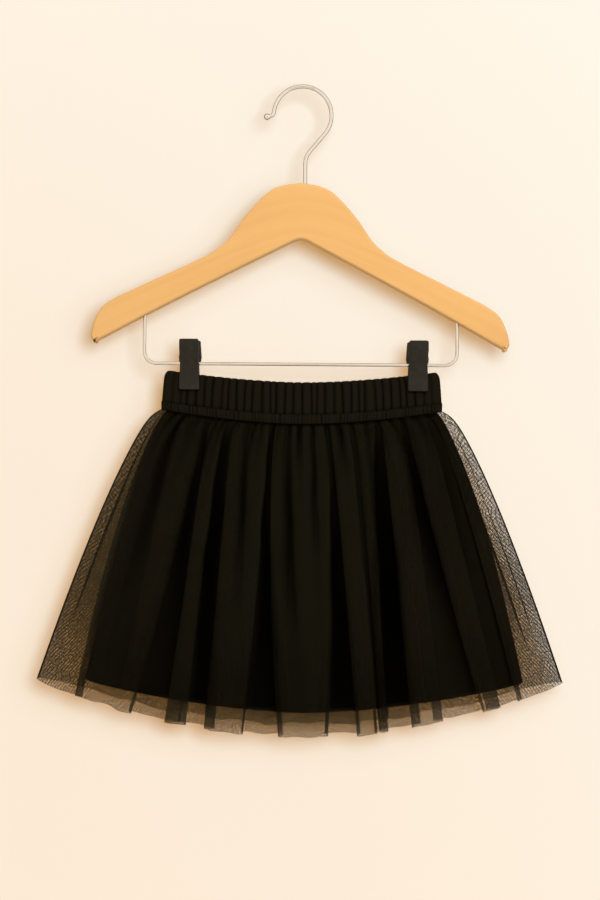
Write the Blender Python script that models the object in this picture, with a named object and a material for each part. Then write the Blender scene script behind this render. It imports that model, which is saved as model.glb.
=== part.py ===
"""Tulle skirt held by two clips on the bar of a wooden hanger.

The model stands in its own frame: +Z is up, the front faces -Y, and the origin is the
point of the hook's inner curve that rests on a rod or a nail.  Lengths in this file are
millimetres, and every mesh is written in metres.
"""

import math
from typing import NamedTuple

import bmesh
import bpy
from mathutils import Vector

MM = 0.001
GAP = 0.3  # clearance between neighbouring pieces
SHARP_ANGLE = 40.0  # degrees between faces that shade as an edge

FRONT = -1.0  # sign of y on the front panels
BACK = 1.0

# Hanger: wire hook
HOOK_WIRE = 3.4
HOOK_INNER_RADIUS = 22.4
HOOK_MOUTH_ANGLE = 174.0  # degrees from +X, where the curl at the open end starts
HOOK_LEAVE_ANGLE = -40.0  # where the round part runs off straight to the shank
HOOK_BALL_RADIUS = 2.8
HOOK_CURL = ((-25.4, -21.9), (-27.2, -23.0), (-29.4, -23.4))  # x, z of the open end
SHANK_X = 2.5
SHANK_BEND_RADIUS = 16.0
SHANK_BEND_STEPS = 4
SHANK_DEPTH = 17.0  # how far the shank goes into the yoke
SHANK_HOLE_SPARE = 1.0  # how much deeper its hole is
BALL_ANGLES = (142.0, 115.0, 90.0, 60.0, 35.0, 12.0)  # rings of the ball, from its neck to its tip

# Hanger: wooden yoke
YOKE_THICKNESS = 12.0
YOKE_EDGE_RADIUS = 3.2
YOKE_CROWN_Z = -79.6
YOKE_TOP = (  # x, z along the upper edge of one half, crown to tip
    (0.0, YOKE_CROWN_Z),
    (15.0, -81.8),
    (28.0, -88.3),
    (46.0, -107.6),
    (58.5, -125.4),
    (68.5, -134.8),
    (82.0, -143.4),
    (131.5, -167.2),
    (154.5, -178.6),
    (165.5, -187.0),
    (171.8, -200.0),
    (174.0, -210.5),
)
YOKE_BOTTOM = (  # x, z along the lower edge, tip to middle
    (171.6, -214.6),
    (166.5, -212.8),
    (120.0, -187.2),
    (67.0, -159.3),
    (15.0, -132.4),
    (5.0, -127.4),
    (0.0, -126.2),
)

# Hanger: steel bar that carries the clips
BAR_WIRE = 2.8
BAR_HALF_SPAN = 130.2
BAR_Z = -229.9
BAR_CORNER_RADIUS = 10.0
BAR_END_Z = -181.0  # top of each end, inside its hole in the yoke
BAR_HOLE_TOP_Z = -179.5
BAR_HOLE_MOUTH_Z = -210.0  # below the yoke's lower edge there
CUTTER_REACH = 5.0  # how far the shank's cutter stands out of the crown

# Clips
CLIP_X = {"left": -92.5, "right": 97.7}
JAW_THICKNESS = 2.3
JAW_CHAMFER = 0.6


class JawRow(NamedTuple):
    """One level of a clip jaw."""

    z: float
    inner_y: float
    half_width: float


FRONT_JAW = (
    JawRow(-209.9, 9.7, 7.5),
    JawRow(-211.4, 9.4, 8.1),
    JawRow(-218.0, 7.7, 8.2),
    JawRow(-224.0, 5.5, 7.9),
    JawRow(-229.9, 3.7, 7.7),
    JawRow(-236.0, 3.4, 7.9),
    JawRow(-242.0, 3.3, 8.3),
    JawRow(-250.2, 3.3, 8.4),
    JawRow(-251.8, 3.6, 7.9),
)
BACK_JAW = (
    JawRow(-209.9, 9.7, 7.9),
    JawRow(-211.4, 9.4, 8.5),
    JawRow(-218.0, 7.7, 9.0),
    JawRow(-224.5, 5.4, 9.6),
    JawRow(-227.5, 4.4, 9.2),
    JawRow(-229.9, 3.7, 7.7),
    JawRow(-242.0, 3.3, 8.3),
    JawRow(-250.2, 3.3, 8.4),
    JawRow(-251.8, 3.6, 7.9),
)
SPRING_STEEL = 0.7
SPRING_INNER_RADIUS = 2.0
SPRING_WIDTH = 10.0
SPRING_FOOT_Z = -236.4
SPRING_FOOT_Y = 2.3  # inner face of each leg at its foot

# Skirt: waist
SKIRT_CENTRE_X = 1.2
WAIST_HALF = 115.0  # half width that the sag is measured over
SAG_POWER = 1.7
WAISTBAND_TOP_Z = -245.2
WAISTBAND_HEIGHT = 26.2
WAISTBAND_SAG = 10.0  # how far the middle hangs below the side seams
WAISTBAND_WALL = 2.2
WAISTBAND_RIBS = 34
RIB_HEIGHT = 0.5
PINCH_HALF_SPAN = 90.0  # the clips hold both layers together outside this
WAIST_BOW = 4.85  # how far each layer bows away from the middle plane
WAIST_BOW_POWER = 1.5
WAISTBAND_ROWS = ((0.0, 111.6), (4.5, 114.6), (WAISTBAND_HEIGHT, 116.4))  # drop, half width

CHANNEL_HEIGHT = 8.4
CHANNEL_TOP_SAG = 10.2
CHANNEL_BOTTOM_SAG = 11.2  # also the sag of the skirt's waist seam
CHANNEL_HALF = 117.0
CHANNEL_BOW = 4.0
CHANNEL_WALL = 3.4
CHANNEL_END_THINNING = 0.6
CHANNEL_ROUNDING = 0.9  # how far its edges lie behind its crest
CHANNEL_STEPS = 26

SKIRT_TOP_Z = WAISTBAND_TOP_Z - WAISTBAND_HEIGHT - CHANNEL_HEIGHT - 2 * GAP
SEAM_GAP = 0.15  # half of the clearance between front and back at the side seams


class Layer(NamedTuple):
    """One layer of the skirt, from its waist seam to its hem."""

    top_half: float
    shoulder: float  # how far the side springs out right under the waist seam
    hem_half: float
    spread: float  # power of the side's outward curve
    top_depth: float
    front_hem_depth: float
    back_hem_depth: float
    hem_z: float
    hem_rise: float  # how far the hem's side ends lie above its middle
    hem_power: float


OVERLAY = Layer(116.5, 5.0, 219.0, 0.78, 6.2, 38.0, 26.0, -535.1, 42.0, 1.9)
LINING = Layer(112.0, 0.0, 182.5, 0.70, 4.0, 33.0, 21.5, -514.5, 21.5, 1.6)
SKIRT_WALL = 1.0
SHOULDER_LEVEL = 0.015
DEPTH_POWER = 0.85
LINING_REACH = 0.94  # a lining level, as a share of the overlay's level beside it
LEVELS = (0.0, 0.03, 0.09, 0.18, 0.28, 0.40, 0.56, 0.72, 0.87, 1.0)  # share of the way down
MIDDLE_SHARE = 0.48  # where the folds' middle places stand in the spread
SIDE_LINES = {OVERLAY: (0.9, 0.95, 0.985, 1.0), LINING: (0.95, 0.985, 1.0)}
LINING_FOLD_LIMIT = 162.0  # folds further out at the hem miss the narrower lining
LINING_FLOOR_EXTRA = 3.0  # the lining's troughs are this much wider at the floor
LINING_TOP_CLEARANCE = 1.5  # from the overlay's outer face to the lining's
LINING_HEM_CLEARANCE = 2.6
LEVEL_ROUNDS = 4  # rounds that find the overlay's level beside a point of the lining


class Fold(NamedTuple):
    """One trough down a panel: its middle at three levels and its size at the hem."""

    waist: float
    middle: float
    hem: float
    mouth: float
    floor: float
    depth: float  # share of the panel's own depth
    fades: float  # level where it dies out, or 0 if it reaches the hem


FRONT_FOLDS = (
    Fold(-99.0, -129.5, -154.0, 22.0, 6.0, 0.32, 0.0),
    Fold(-79.0, -95.5, -125.0, 32.0, 10.0, 0.42, 0.0),
    Fold(-62.5, -70.5, -82.5, 24.0, 6.0, 0.45, 0.0),
    Fold(-46.0, -46.5, -56.0, 10.0, 0.0, 0.25, 0.65),
    Fold(-25.0, -28.5, -32.0, 30.0, 12.0, 0.45, 0.0),
    Fold(-9.0, -8.0, -2.0, 12.0, 0.0, 0.20, 0.75),
    Fold(18.5, 27.5, 34.0, 30.0, 8.0, 0.45, 0.0),
    Fold(44.0, 55.0, 62.0, 10.0, 0.0, 0.25, 0.70),
    Fold(64.0, 71.5, 82.0, 26.0, 6.0, 0.40, 0.0),
    Fold(80.5, 105.0, 134.5, 38.0, 14.0, 0.45, 0.0),
    Fold(97.0, 133.0, 170.0, 22.0, 4.0, 0.30, 0.0),
)
BACK_FOLDS = (
    Fold(-97.0, -131.0, -158.0, 20.0, 6.0, 0.32, 0.0),
    Fold(-76.0, -92.0, -116.0, 30.0, 10.0, 0.42, 0.0),
    Fold(-52.0, -60.0, -75.0, 26.0, 8.0, 0.40, 0.0),
    Fold(-34.0, -37.0, -46.0, 12.0, 0.0, 0.22, 0.65),
    Fold(-14.0, -17.0, -20.0, 30.0, 10.0, 0.45, 0.0),
    Fold(6.0, 5.0, 8.0, 10.0, 0.0, 0.20, 0.60),
    Fold(27.0, 33.0, 38.0, 32.0, 12.0, 0.42, 0.0),
    Fold(50.0, 57.0, 68.0, 12.0, 0.0, 0.25, 0.70),
    Fold(70.0, 80.0, 99.0, 30.0, 10.0, 0.45, 0.0),
    Fold(93.0, 126.0, 146.0, 30.0, 8.0, 0.36, 0.0),
)
FOLD_TOP_WIDTH = 0.35  # a fold's width at the waist, as a share of its width at the hem
FOLD_TOP_DEPTH = 0.30
FOLD_FULL_LEVEL = 0.35  # level where a fold reaches its full depth


class Finish(NamedTuple):
    """Colour, roughness and metallic value of one material."""

    color: tuple
    roughness: float
    metallic: float


FINISHES = {
    "lacquered_wood": Finish((0.84, 0.50, 0.19), 0.35, 0.0),
    "bright_steel": Finish((0.70, 0.68, 0.64), 0.22, 1.0),
    "black_plastic": Finish((0.022, 0.020, 0.017), 0.45, 0.0),
    "black_rib": Finish((0.010, 0.009, 0.007), 0.85, 0.0),
    "black_lining": Finish((0.009, 0.008, 0.007), 0.80, 0.0),
    "black_tulle": Finish((0.012, 0.011, 0.009), 0.75, 0.0),
}


def material(name):
    """Return the named material, made on first use."""
    found = bpy.data.materials.get(name)
    if found:
        return found
    finish = FINISHES[name]
    made = bpy.data.materials.new(name)
    made.use_nodes = True
    shader = made.node_tree.nodes["Principled BSDF"]
    shader.inputs["Base Color"].default_value = (*finish.color, 1.0)
    shader.inputs["Roughness"].default_value = finish.roughness
    shader.inputs["Metallic"].default_value = finish.metallic
    return made


def add_object(name, mesh, finish):
    """Link a mesh as a named object with its finish."""
    mesh.materials.append(material(finish))
    made = bpy.data.objects.new(name, mesh)
    bpy.context.scene.collection.objects.link(made)
    return made


def mesh_from(name, points, faces):
    """Make a mesh in metres from points in millimetres, with its faces turned outwards."""
    shape = bmesh.new()
    verts = [shape.verts.new(Vector(point) * MM) for point in points]
    for face in faces:
        shape.faces.new([verts[index] for index in face])
    bmesh.ops.recalc_face_normals(shape, faces=shape.faces)
    mesh = bpy.data.meshes.new(name)
    shape.to_mesh(mesh)
    shape.free()
    mesh.shade_smooth()
    mesh.set_sharp_from_angle(angle=math.radians(SHARP_ANGLE))
    return mesh


def loft(name, rings):
    """Join equal rings of points into one closed solid."""
    count = len(rings[0])
    points = [point for ring in rings for point in ring]
    faces = [tuple(range(count))[::-1]]
    for row in range(len(rings) - 1):
        for side in range(count):
            after = (side + 1) % count
            near, far = row * count, (row + 1) * count
            faces.append((near + side, near + after, far + after, far + side))
    faces.append(tuple((len(rings) - 1) * count + side for side in range(count)))
    return mesh_from(name, points, faces)


def tube(name, path, radii, sides):
    """Sweep a round section along points of the XZ plane."""
    rings = []
    for index, (x, z) in enumerate(path):
        before, after = path[max(index - 1, 0)], path[min(index + 1, len(path) - 1)]
        along = Vector((after[0] - before[0], 0.0, after[1] - before[1])).normalized()
        across = Vector((0.0, 1.0, 0.0))
        third = along.cross(across)
        ring = []
        for side in range(sides):
            turn = 2.0 * math.pi * side / sides
            spoke = math.cos(turn) * across + math.sin(turn) * third
            ring.append(Vector((x, 0.0, z)) + radii[index] * spoke)
        rings.append(ring)
    return loft(name, rings)


def arc(centre, radius, start, end, steps):
    """Points of an arc between two angles in degrees."""
    points = []
    for step in range(steps + 1):
        turn = math.radians(start + (end - start) * step / steps)
        points.append((centre[0] + radius * math.cos(turn), centre[1] + radius * math.sin(turn)))
    return points


def smooth_through(points, steps):
    """Catmull-Rom curve through points, with a number of steps between each two."""
    ends = [points[0], *points, points[-1]]
    curve = []
    for index in range(1, len(ends) - 2):
        a, b, c, d = (Vector(ends[index + shift]) for shift in (-1, 0, 1, 2))
        for step in range(steps):
            s = step / steps
            bend = (2 * a - 5 * b + 4 * c - d) * s**2
            twist = (3 * b - a - 3 * c + d) * s**3
            curve.append(0.5 * (2 * b + (c - a) * s + bend + twist))
    curve.append(Vector(points[-1]))
    return [(point.x, point.y) for point in curve]


def cut(target, name, mesh):
    """Subtract a cutter from a target with a Boolean modifier."""
    cutter = bpy.data.objects.new(name, mesh)
    bpy.context.scene.collection.objects.link(cutter)
    cutter.hide_render = True
    cutter.display_type = "WIRE"
    cutter.parent = target
    change = target.modifiers.new(name, "BOOLEAN")
    change.operation = "DIFFERENCE"
    change.object = cutter


def round_hole(target, name, x, z_low, z_high, diameter):
    """Drill an upright round hole into a target."""
    radius = diameter / 2 + GAP
    cut(target, name, tube(name, [(x, z_low), (x, z_high)], [radius, radius], 16))


def build_yoke():
    """Wooden yoke with rounded edges and holes for the shank and the bar's ends."""
    half = smooth_through(YOKE_TOP, 2) + smooth_through(YOKE_BOTTOM, 2)
    mirrored = [(-x, z) for x, z in reversed(half[1:-1])]
    outline = half + mirrored
    depth = YOKE_THICKNESS / 2
    rings = [[(x, y, z) for x, z in outline] for y in (-depth, depth)]
    yoke = add_object("yoke", loft("yoke", rings), "lacquered_wood")
    round_edges = yoke.modifiers.new("round_edges", "BEVEL")
    round_edges.width = YOKE_EDGE_RADIUS * MM
    round_edges.segments = 2
    round_edges.limit_method = "ANGLE"
    round_edges.angle_limit = math.radians(60.0)
    floor_z = YOKE_CROWN_Z - SHANK_DEPTH - SHANK_HOLE_SPARE
    round_hole(yoke, "shank_hole", SHANK_X, floor_z, YOKE_CROWN_Z + CUTTER_REACH, HOOK_WIRE)
    for name, x in (("left", -BAR_HALF_SPAN), ("right", BAR_HALF_SPAN)):
        round_hole(yoke, f"bar_hole_{name}", x, BAR_HOLE_MOUTH_Z, BAR_HOLE_TOP_Z, BAR_WIRE)


def build_hook():
    """Wire hook with a ball end, a round top and a straight shank."""
    radius = HOOK_INNER_RADIUS + HOOK_WIRE / 2
    centre = (0.0, -HOOK_INNER_RADIUS)
    path = arc(centre, radius, HOOK_LEAVE_ANGLE, HOOK_MOUTH_ANGLE, 20)
    leave = Vector(path[0])
    turn = math.radians(HOOK_LEAVE_ANGLE)
    slant = Vector((math.sin(turn), -math.cos(turn)))
    length = (leave.x - SHANK_X) / -slant.x
    corner = leave + slant * length
    trim = SHANK_BEND_RADIUS * math.tan(math.radians(-HOOK_LEAVE_ANGLE) / 2)
    first = corner - slant * trim
    last = corner + Vector((0.0, -trim))
    shank = []
    for step in range(SHANK_BEND_STEPS + 1):
        s = 1.0 - step / SHANK_BEND_STEPS
        shank.append(tuple(first.lerp(corner, s).lerp(corner.lerp(last, s), s)))
    foot = (SHANK_X, YOKE_CROWN_Z - SHANK_DEPTH)
    whole = [foot, (SHANK_X, YOKE_CROWN_Z), *shank, *path, *HOOK_CURL[:-1]]
    radii = [HOOK_WIRE / 2] * len(whole)
    near, ball = Vector(HOOK_CURL[-2]), Vector(HOOK_CURL[-1])
    outward = (ball - near).normalized()
    for angle in BALL_ANGLES:
        place = ball + outward * HOOK_BALL_RADIUS * math.cos(math.radians(angle))
        whole.append(tuple(place))
        radii.append(HOOK_BALL_RADIUS * math.sin(math.radians(angle)))
    add_object("hook", tube("hook", whole, radii, 10), "bright_steel")


def build_bar():
    """Steel bar: two upright ends in the yoke and a long level stretch for the clips."""
    inner = BAR_HALF_SPAN - BAR_CORNER_RADIUS
    corner_z = BAR_Z + BAR_CORNER_RADIUS
    left = arc((-inner, corner_z), BAR_CORNER_RADIUS, 180.0, 270.0, 6)
    right = arc((inner, corner_z), BAR_CORNER_RADIUS, 270.0, 360.0, 6)
    path = [(-BAR_HALF_SPAN, BAR_END_Z), *left, *right, (BAR_HALF_SPAN, BAR_END_Z)]
    add_object("clip_bar", tube("clip_bar", path, [BAR_WIRE / 2] * len(path), 10), "bright_steel")


def jaw_ring(row, x, side):
    """Section of a jaw at one level: a rectangle with its corners taken off."""
    near, far = row.inner_y, row.inner_y + JAW_THICKNESS
    wide, cut_corner = row.half_width, JAW_CHAMFER
    corners = (
        (-wide + cut_corner, near),
        (wide - cut_corner, near),
        (wide, near + cut_corner),
        (wide, far - cut_corner),
        (wide - cut_corner, far),
        (-wide + cut_corner, far),
        (-wide, far - cut_corner),
        (-wide, near + cut_corner),
    )
    return [(x + across, side * away, row.z) for across, away in corners]


def build_clip(hand):
    """One clip: two jaws that lean apart above the bar, and the spring over the bar."""
    x = CLIP_X[hand]
    for part, rows, side in (("front_jaw", FRONT_JAW, FRONT), ("back_jaw", BACK_JAW, BACK)):
        name = f"clip_{hand}_{part}"
        add_object(name, loft(name, [jaw_ring(row, x, side) for row in rows]), "black_plastic")
    bar = (0.0, BAR_Z)
    over = arc(bar, SPRING_INNER_RADIUS, 180.0, 0.0, 8)
    back_over = arc(bar, SPRING_INNER_RADIUS + SPRING_STEEL, 0.0, 180.0, 8)
    near, far = SPRING_FOOT_Y, SPRING_FOOT_Y + SPRING_STEEL
    inner = [(-near, SPRING_FOOT_Z), *over, (near, SPRING_FOOT_Z)]
    outer = [(far, SPRING_FOOT_Z), *back_over, (-far, SPRING_FOOT_Z)]
    edges = (x - SPRING_WIDTH / 2, x + SPRING_WIDTH / 2)
    rings = [[(edge, y, z) for y, z in inner + outer] for edge in edges]
    name = f"clip_{hand}_spring"
    add_object(name, loft(name, rings), "bright_steel")


def sag(x, amount):
    """Height of a waist line above its lowest point, at x from the skirt's centre."""
    return amount * abs(x / WAIST_HALF) ** SAG_POWER


def cloth_wall(name, outer, wall, side, finish):
    """Close a sheet of outer points into a wall whose thickness goes inwards."""
    rows, columns = len(outer), len(outer[0])
    inner = []
    for row in outer:
        inner_row = []
        for column, point in enumerate(row):
            step = row[min(column + 1, columns - 1)] - row[max(column - 1, 0)]
            inward = Vector((-step.y, step.x, 0.0)).normalized() * -side
            place = point + inward * wall
            place.y = side * max(side * place.y, SEAM_GAP)
            inner_row.append(place)
        inner.append(inner_row)
    points = [point for sheet in (outer, inner) for row in sheet for point in row]
    offset = rows * columns
    faces = []
    for row in range(rows - 1):
        for column in range(columns - 1):
            corner = row * columns + column
            quad = (corner, corner + 1, corner + columns + 1, corner + columns)
            faces.append(quad)
            faces.append(tuple(offset + index for index in reversed(quad)))
    rim = list(range(columns))
    rim += [row * columns + columns - 1 for row in range(1, rows)]
    rim += [(rows - 1) * columns + column for column in range(columns - 2, -1, -1)]
    rim += [row * columns for row in range(rows - 2, 0, -1)]
    for index, start in enumerate(rim):
        end = rim[(index + 1) % len(rim)]
        faces.append((start, end, offset + end, offset + start))
    add_object(name, mesh_from(name, points, faces), finish)


def build_waistband(part, side):
    """Ribbed elastic waistband, bowed between the clips and flat under them."""
    columns = 2 * WAISTBAND_RIBS
    outer = []
    for drop, half in WAISTBAND_ROWS:
        row = []
        for column in range(columns + 1):
            share = 2.0 * column / columns - 1.0
            x = share * half
            bow = WAIST_BOW * max(0.0, 1.0 - (x / PINCH_HALF_SPAN) ** 2) ** WAIST_BOW_POWER
            crest = RIB_HEIGHT * (column % 2)
            away = SEAM_GAP + bow + WAISTBAND_WALL + GAP / 2 + crest
            z = WAISTBAND_TOP_Z - drop + sag(x, WAISTBAND_SAG)
            row.append(Vector((SKIRT_CENTRE_X + x, side * away, z)))
        outer.append(row)
    cloth_wall(f"waistband_{part}", outer, WAISTBAND_WALL, side, "black_rib")


def build_channel(part, side):
    """Narrow padded channel along the waist seam."""
    top_z = WAISTBAND_TOP_Z - WAISTBAND_HEIGHT - GAP
    rings = []
    for step in range(CHANNEL_STEPS + 1):
        share = 2.0 * step / CHANNEL_STEPS - 1.0
        x = share * CHANNEL_HALF
        near = SEAM_GAP + CHANNEL_BOW * (1.0 - share**2)
        crest = near + CHANNEL_WALL - CHANNEL_END_THINNING * abs(share)
        edge = crest - CHANNEL_ROUNDING
        high = top_z + sag(x, CHANNEL_TOP_SAG)
        low = top_z - CHANNEL_HEIGHT + sag(x, CHANNEL_BOTTOM_SAG)
        middle = (high + low) / 2
        profile = ((near, high), (edge, high), (crest, middle), (edge, low), (near, low))
        rings.append([(SKIRT_CENTRE_X + x, side * y, z) for y, z in profile])
    name = f"channel_{part}"
    add_object(name, loft(name, rings), "black_rib")


def spread_half(layer, level):
    """Half width of a layer at a level."""
    shoulder = layer.shoulder * (1.0 - math.exp(-level / SHOULDER_LEVEL))
    flare = layer.hem_half - layer.top_half - layer.shoulder
    return layer.top_half + shoulder + flare * level**layer.spread


def fold_place(fold, level):
    """Where a fold's middle lies at a level, on a curve through its three places."""
    share = level**OVERLAY.spread
    m = MIDDLE_SHARE
    at_waist = fold.waist * (share - m) * (share - 1.0) / m
    at_middle = fold.middle * share * (share - 1.0) / (m * (m - 1.0))
    at_hem = fold.hem * share * (share - m) / (1.0 - m)
    return at_waist + at_middle + at_hem


def fold_depth(fold, level):
    """Depth of a fold at a level, as a share of the panel's own depth."""
    depth = fold.depth * (FOLD_TOP_DEPTH + (1.0 - FOLD_TOP_DEPTH) * min(1.0, level / FOLD_FULL_LEVEL))
    if fold.fades:
        depth *= max(0.0, 1.0 - (level / fold.fades) ** 2)
    return depth


def section(layer, folds, level):
    """Lines across a layer at a level: x from the centre, and the fold's depth there."""
    half = spread_half(layer, level)
    width = FOLD_TOP_WIDTH + (1.0 - FOLD_TOP_WIDTH) * level
    lines = [(-side * half, 0.0) for side in reversed(SIDE_LINES[layer])]
    for fold in folds:
        place, depth = fold_place(fold, level), fold_depth(fold, level)
        mouth, floor = fold.mouth * width / 2, fold.floor * width / 2
        middle = [0.0] if floor == 0.0 else [-floor, floor]
        lines.append((place - mouth, 0.0))
        lines += [(place + offset, depth) for offset in middle]
        lines.append((place + mouth, 0.0))
    lines += [(side * half, 0.0) for side in SIDE_LINES[layer]]
    return half, lines


def outer_away(layer, side, level, share, fold):
    """How far a layer's outer face lies from the middle plane."""
    hem_depth = layer.front_hem_depth if side == FRONT else layer.back_hem_depth
    depth = layer.top_depth + (hem_depth - layer.top_depth) * level**DEPTH_POWER
    return SEAM_GAP + depth * math.sqrt(1.0 - share**2) * (1.0 - fold)


def height(layer, level, share):
    """Height of a point of a layer at a level."""
    top = SKIRT_TOP_Z + sag(share * layer.top_half, CHANNEL_BOTTOM_SAG)
    bottom = layer.hem_z + layer.hem_rise * abs(share) ** layer.hem_power
    return top + (bottom - top) * level


def overlay_away(folds, side, x, z):
    """How far the overlay's outer face lies from the middle plane at a place."""
    level = 0.5
    for _ in range(LEVEL_ROUNDS):
        share = min(1.0, abs(x) / spread_half(OVERLAY, level))
        top, bottom = height(OVERLAY, 0.0, share), height(OVERLAY, 1.0, share)
        level = min(1.0, max(0.0, (z - top) / (bottom - top)))
    half, lines = section(OVERLAY, folds, level)
    for (x_before, before), (x_after, after) in zip(lines, lines[1:]):
        if x_before <= x <= x_after:
            fold = before + (after - before) * (x - x_before) / (x_after - x_before)
            return outer_away(OVERLAY, side, level, x / half, fold)
    return SEAM_GAP


def build_overlay(part, side, folds):
    """One panel of the net overlay: an oval section that widens downwards, with its folds."""
    outer = []
    for level in LEVELS:
        half, lines = section(OVERLAY, folds, level)
        row = []
        for x, fold in lines:
            share = max(-1.0, min(1.0, x / half))
            away = outer_away(OVERLAY, side, level, share, fold)
            row.append(Vector((SKIRT_CENTRE_X + x, side * away, height(OVERLAY, level, share))))
        outer.append(row)
    cloth_wall(f"overlay_{part}", outer, SKIRT_WALL, side, "black_tulle")


def build_lining(part, side, folds):
    """One panel of the lining, which keeps inside the overlay's folds."""
    inner_folds = [fold for fold in folds if abs(fold.hem) < LINING_FOLD_LIMIT]
    outer = []
    for level in LEVELS:
        reach = level * LINING_REACH
        width = FOLD_TOP_WIDTH + (1.0 - FOLD_TOP_WIDTH) * reach
        loosening = LINING_HEM_CLEARANCE - LINING_TOP_CLEARANCE
        clearance = LINING_TOP_CLEARANCE + loosening * math.sqrt(level)
        half = spread_half(LINING, level)
        places = [(-side_line * half, None) for side_line in reversed(SIDE_LINES[LINING])]
        for fold in inner_folds:
            place = fold_place(fold, reach)
            mouth, floor = fold.mouth * width / 2, fold.floor * width / 2
            wide_floor = floor + LINING_FLOOR_EXTRA * width / 2
            reaches = ((-mouth, -mouth), (-wide_floor, -floor), (wide_floor, floor), (mouth, mouth))
            places += [(place + own, place + above) for own, above in reaches]
        places += [(side_line * half, None) for side_line in SIDE_LINES[LINING]]
        row = []
        for x, x_above in places:
            share = max(-1.0, min(1.0, x / half))
            z = height(LINING, level, share)
            away = outer_away(LINING, side, level, share, 0.0)
            if x_above is not None:
                away = min(away, overlay_away(folds, side, x_above, z) - clearance)
            row.append(Vector((SKIRT_CENTRE_X + x, side * away, z)))
        outer.append(row)
    cloth_wall(f"lining_{part}", outer, SKIRT_WALL, side, "black_lining")


def main():
    """Build every piece of the skirt and its hanger."""
    for item in list(bpy.data.objects):
        bpy.data.objects.remove(item, do_unlink=True)
    build_hook()
    build_yoke()
    build_bar()
    for hand in CLIP_X:
        build_clip(hand)
    for part, side, folds in (("front", FRONT, FRONT_FOLDS), ("back", BACK, BACK_FOLDS)):
        build_waistband(part, side)
        build_channel(part, side)
        build_lining(part, side, folds)
        build_overlay(part, side, folds)


main()
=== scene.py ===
"""Looks of a black tulle skirt that two clips hold on the bar of a wooden hanger.

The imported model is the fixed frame: +Z is up, the front faces -Y, and the origin is the
point of the hook's inner curve that rests on a rod.  Lengths in the classes are
millimetres, and every mesh is written in metres.
"""

import logging
import math
from dataclasses import dataclass
from enum import Enum
from typing import NamedTuple, Optional, Sequence, Union

import bpy
import numpy as np
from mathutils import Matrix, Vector

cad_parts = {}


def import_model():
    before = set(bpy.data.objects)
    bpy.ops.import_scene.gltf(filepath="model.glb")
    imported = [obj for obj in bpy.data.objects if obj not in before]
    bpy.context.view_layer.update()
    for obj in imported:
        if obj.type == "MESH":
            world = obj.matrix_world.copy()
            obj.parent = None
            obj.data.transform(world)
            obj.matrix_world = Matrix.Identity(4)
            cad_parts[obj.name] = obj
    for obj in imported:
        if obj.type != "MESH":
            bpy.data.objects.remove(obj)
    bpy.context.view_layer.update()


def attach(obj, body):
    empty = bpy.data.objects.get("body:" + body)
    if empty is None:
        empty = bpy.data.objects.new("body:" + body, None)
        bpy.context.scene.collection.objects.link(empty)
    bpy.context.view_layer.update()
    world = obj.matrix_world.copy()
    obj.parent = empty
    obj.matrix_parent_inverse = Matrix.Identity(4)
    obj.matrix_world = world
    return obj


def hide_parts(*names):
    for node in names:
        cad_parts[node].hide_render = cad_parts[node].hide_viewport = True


LOG = logging.getLogger("tulle_skirt")
MM = 0.001
BODY = "root"
# painted shade: the colour that cloth takes where folds close on it
FOLD_SHADE_BLACK = (0.0004, 0.0004, 0.0002)  # cloth between folds that close on it
Colour = tuple[float, float, float]


class Side(Enum):
    """The two panels of the skirt, with the sign of their y."""

    FRONT = -1.0
    BACK = 1.0

    @property
    def word(self) -> str:
        """The side's name in lower case."""
        return self.name.lower()


class Slot(Enum):
    """The materials' names."""

    WOOD = "lacquered_wood"
    STEEL = "bright_steel"
    PLASTIC = "black_plastic"
    RIB = "black_rib"
    LINING = "black_lining"
    TULLE = "black_tulle"


# ---------------------------------------------------------------------------
# Shader maths


class Value:
    """A number socket that takes part in Python sums."""

    def __init__(self, graph: "Graph", socket: bpy.types.NodeSocket) -> None:
        """Wrap a socket of a graph."""
        self.graph = graph
        self.socket = socket

    def __add__(self, other: "Number") -> "Value":
        """Sum of two numbers."""
        return self.graph.math("ADD", self, other)

    def __sub__(self, other: "Number") -> "Value":
        """Difference of two numbers."""
        return self.graph.math("SUBTRACT", self, other)

    def __rsub__(self, other: "Number") -> "Value":
        """Difference with the socket second."""
        return self.graph.math("SUBTRACT", other, self)

    def __mul__(self, other: "Number") -> "Value":
        """Product of two numbers."""
        return self.graph.math("MULTIPLY", self, other)

    def __truediv__(self, other: "Number") -> "Value":
        """Quotient of two numbers."""
        return self.graph.math("DIVIDE", self, other)

    __radd__ = __add__
    __rmul__ = __mul__


Number = Union[float, Value]


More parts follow.
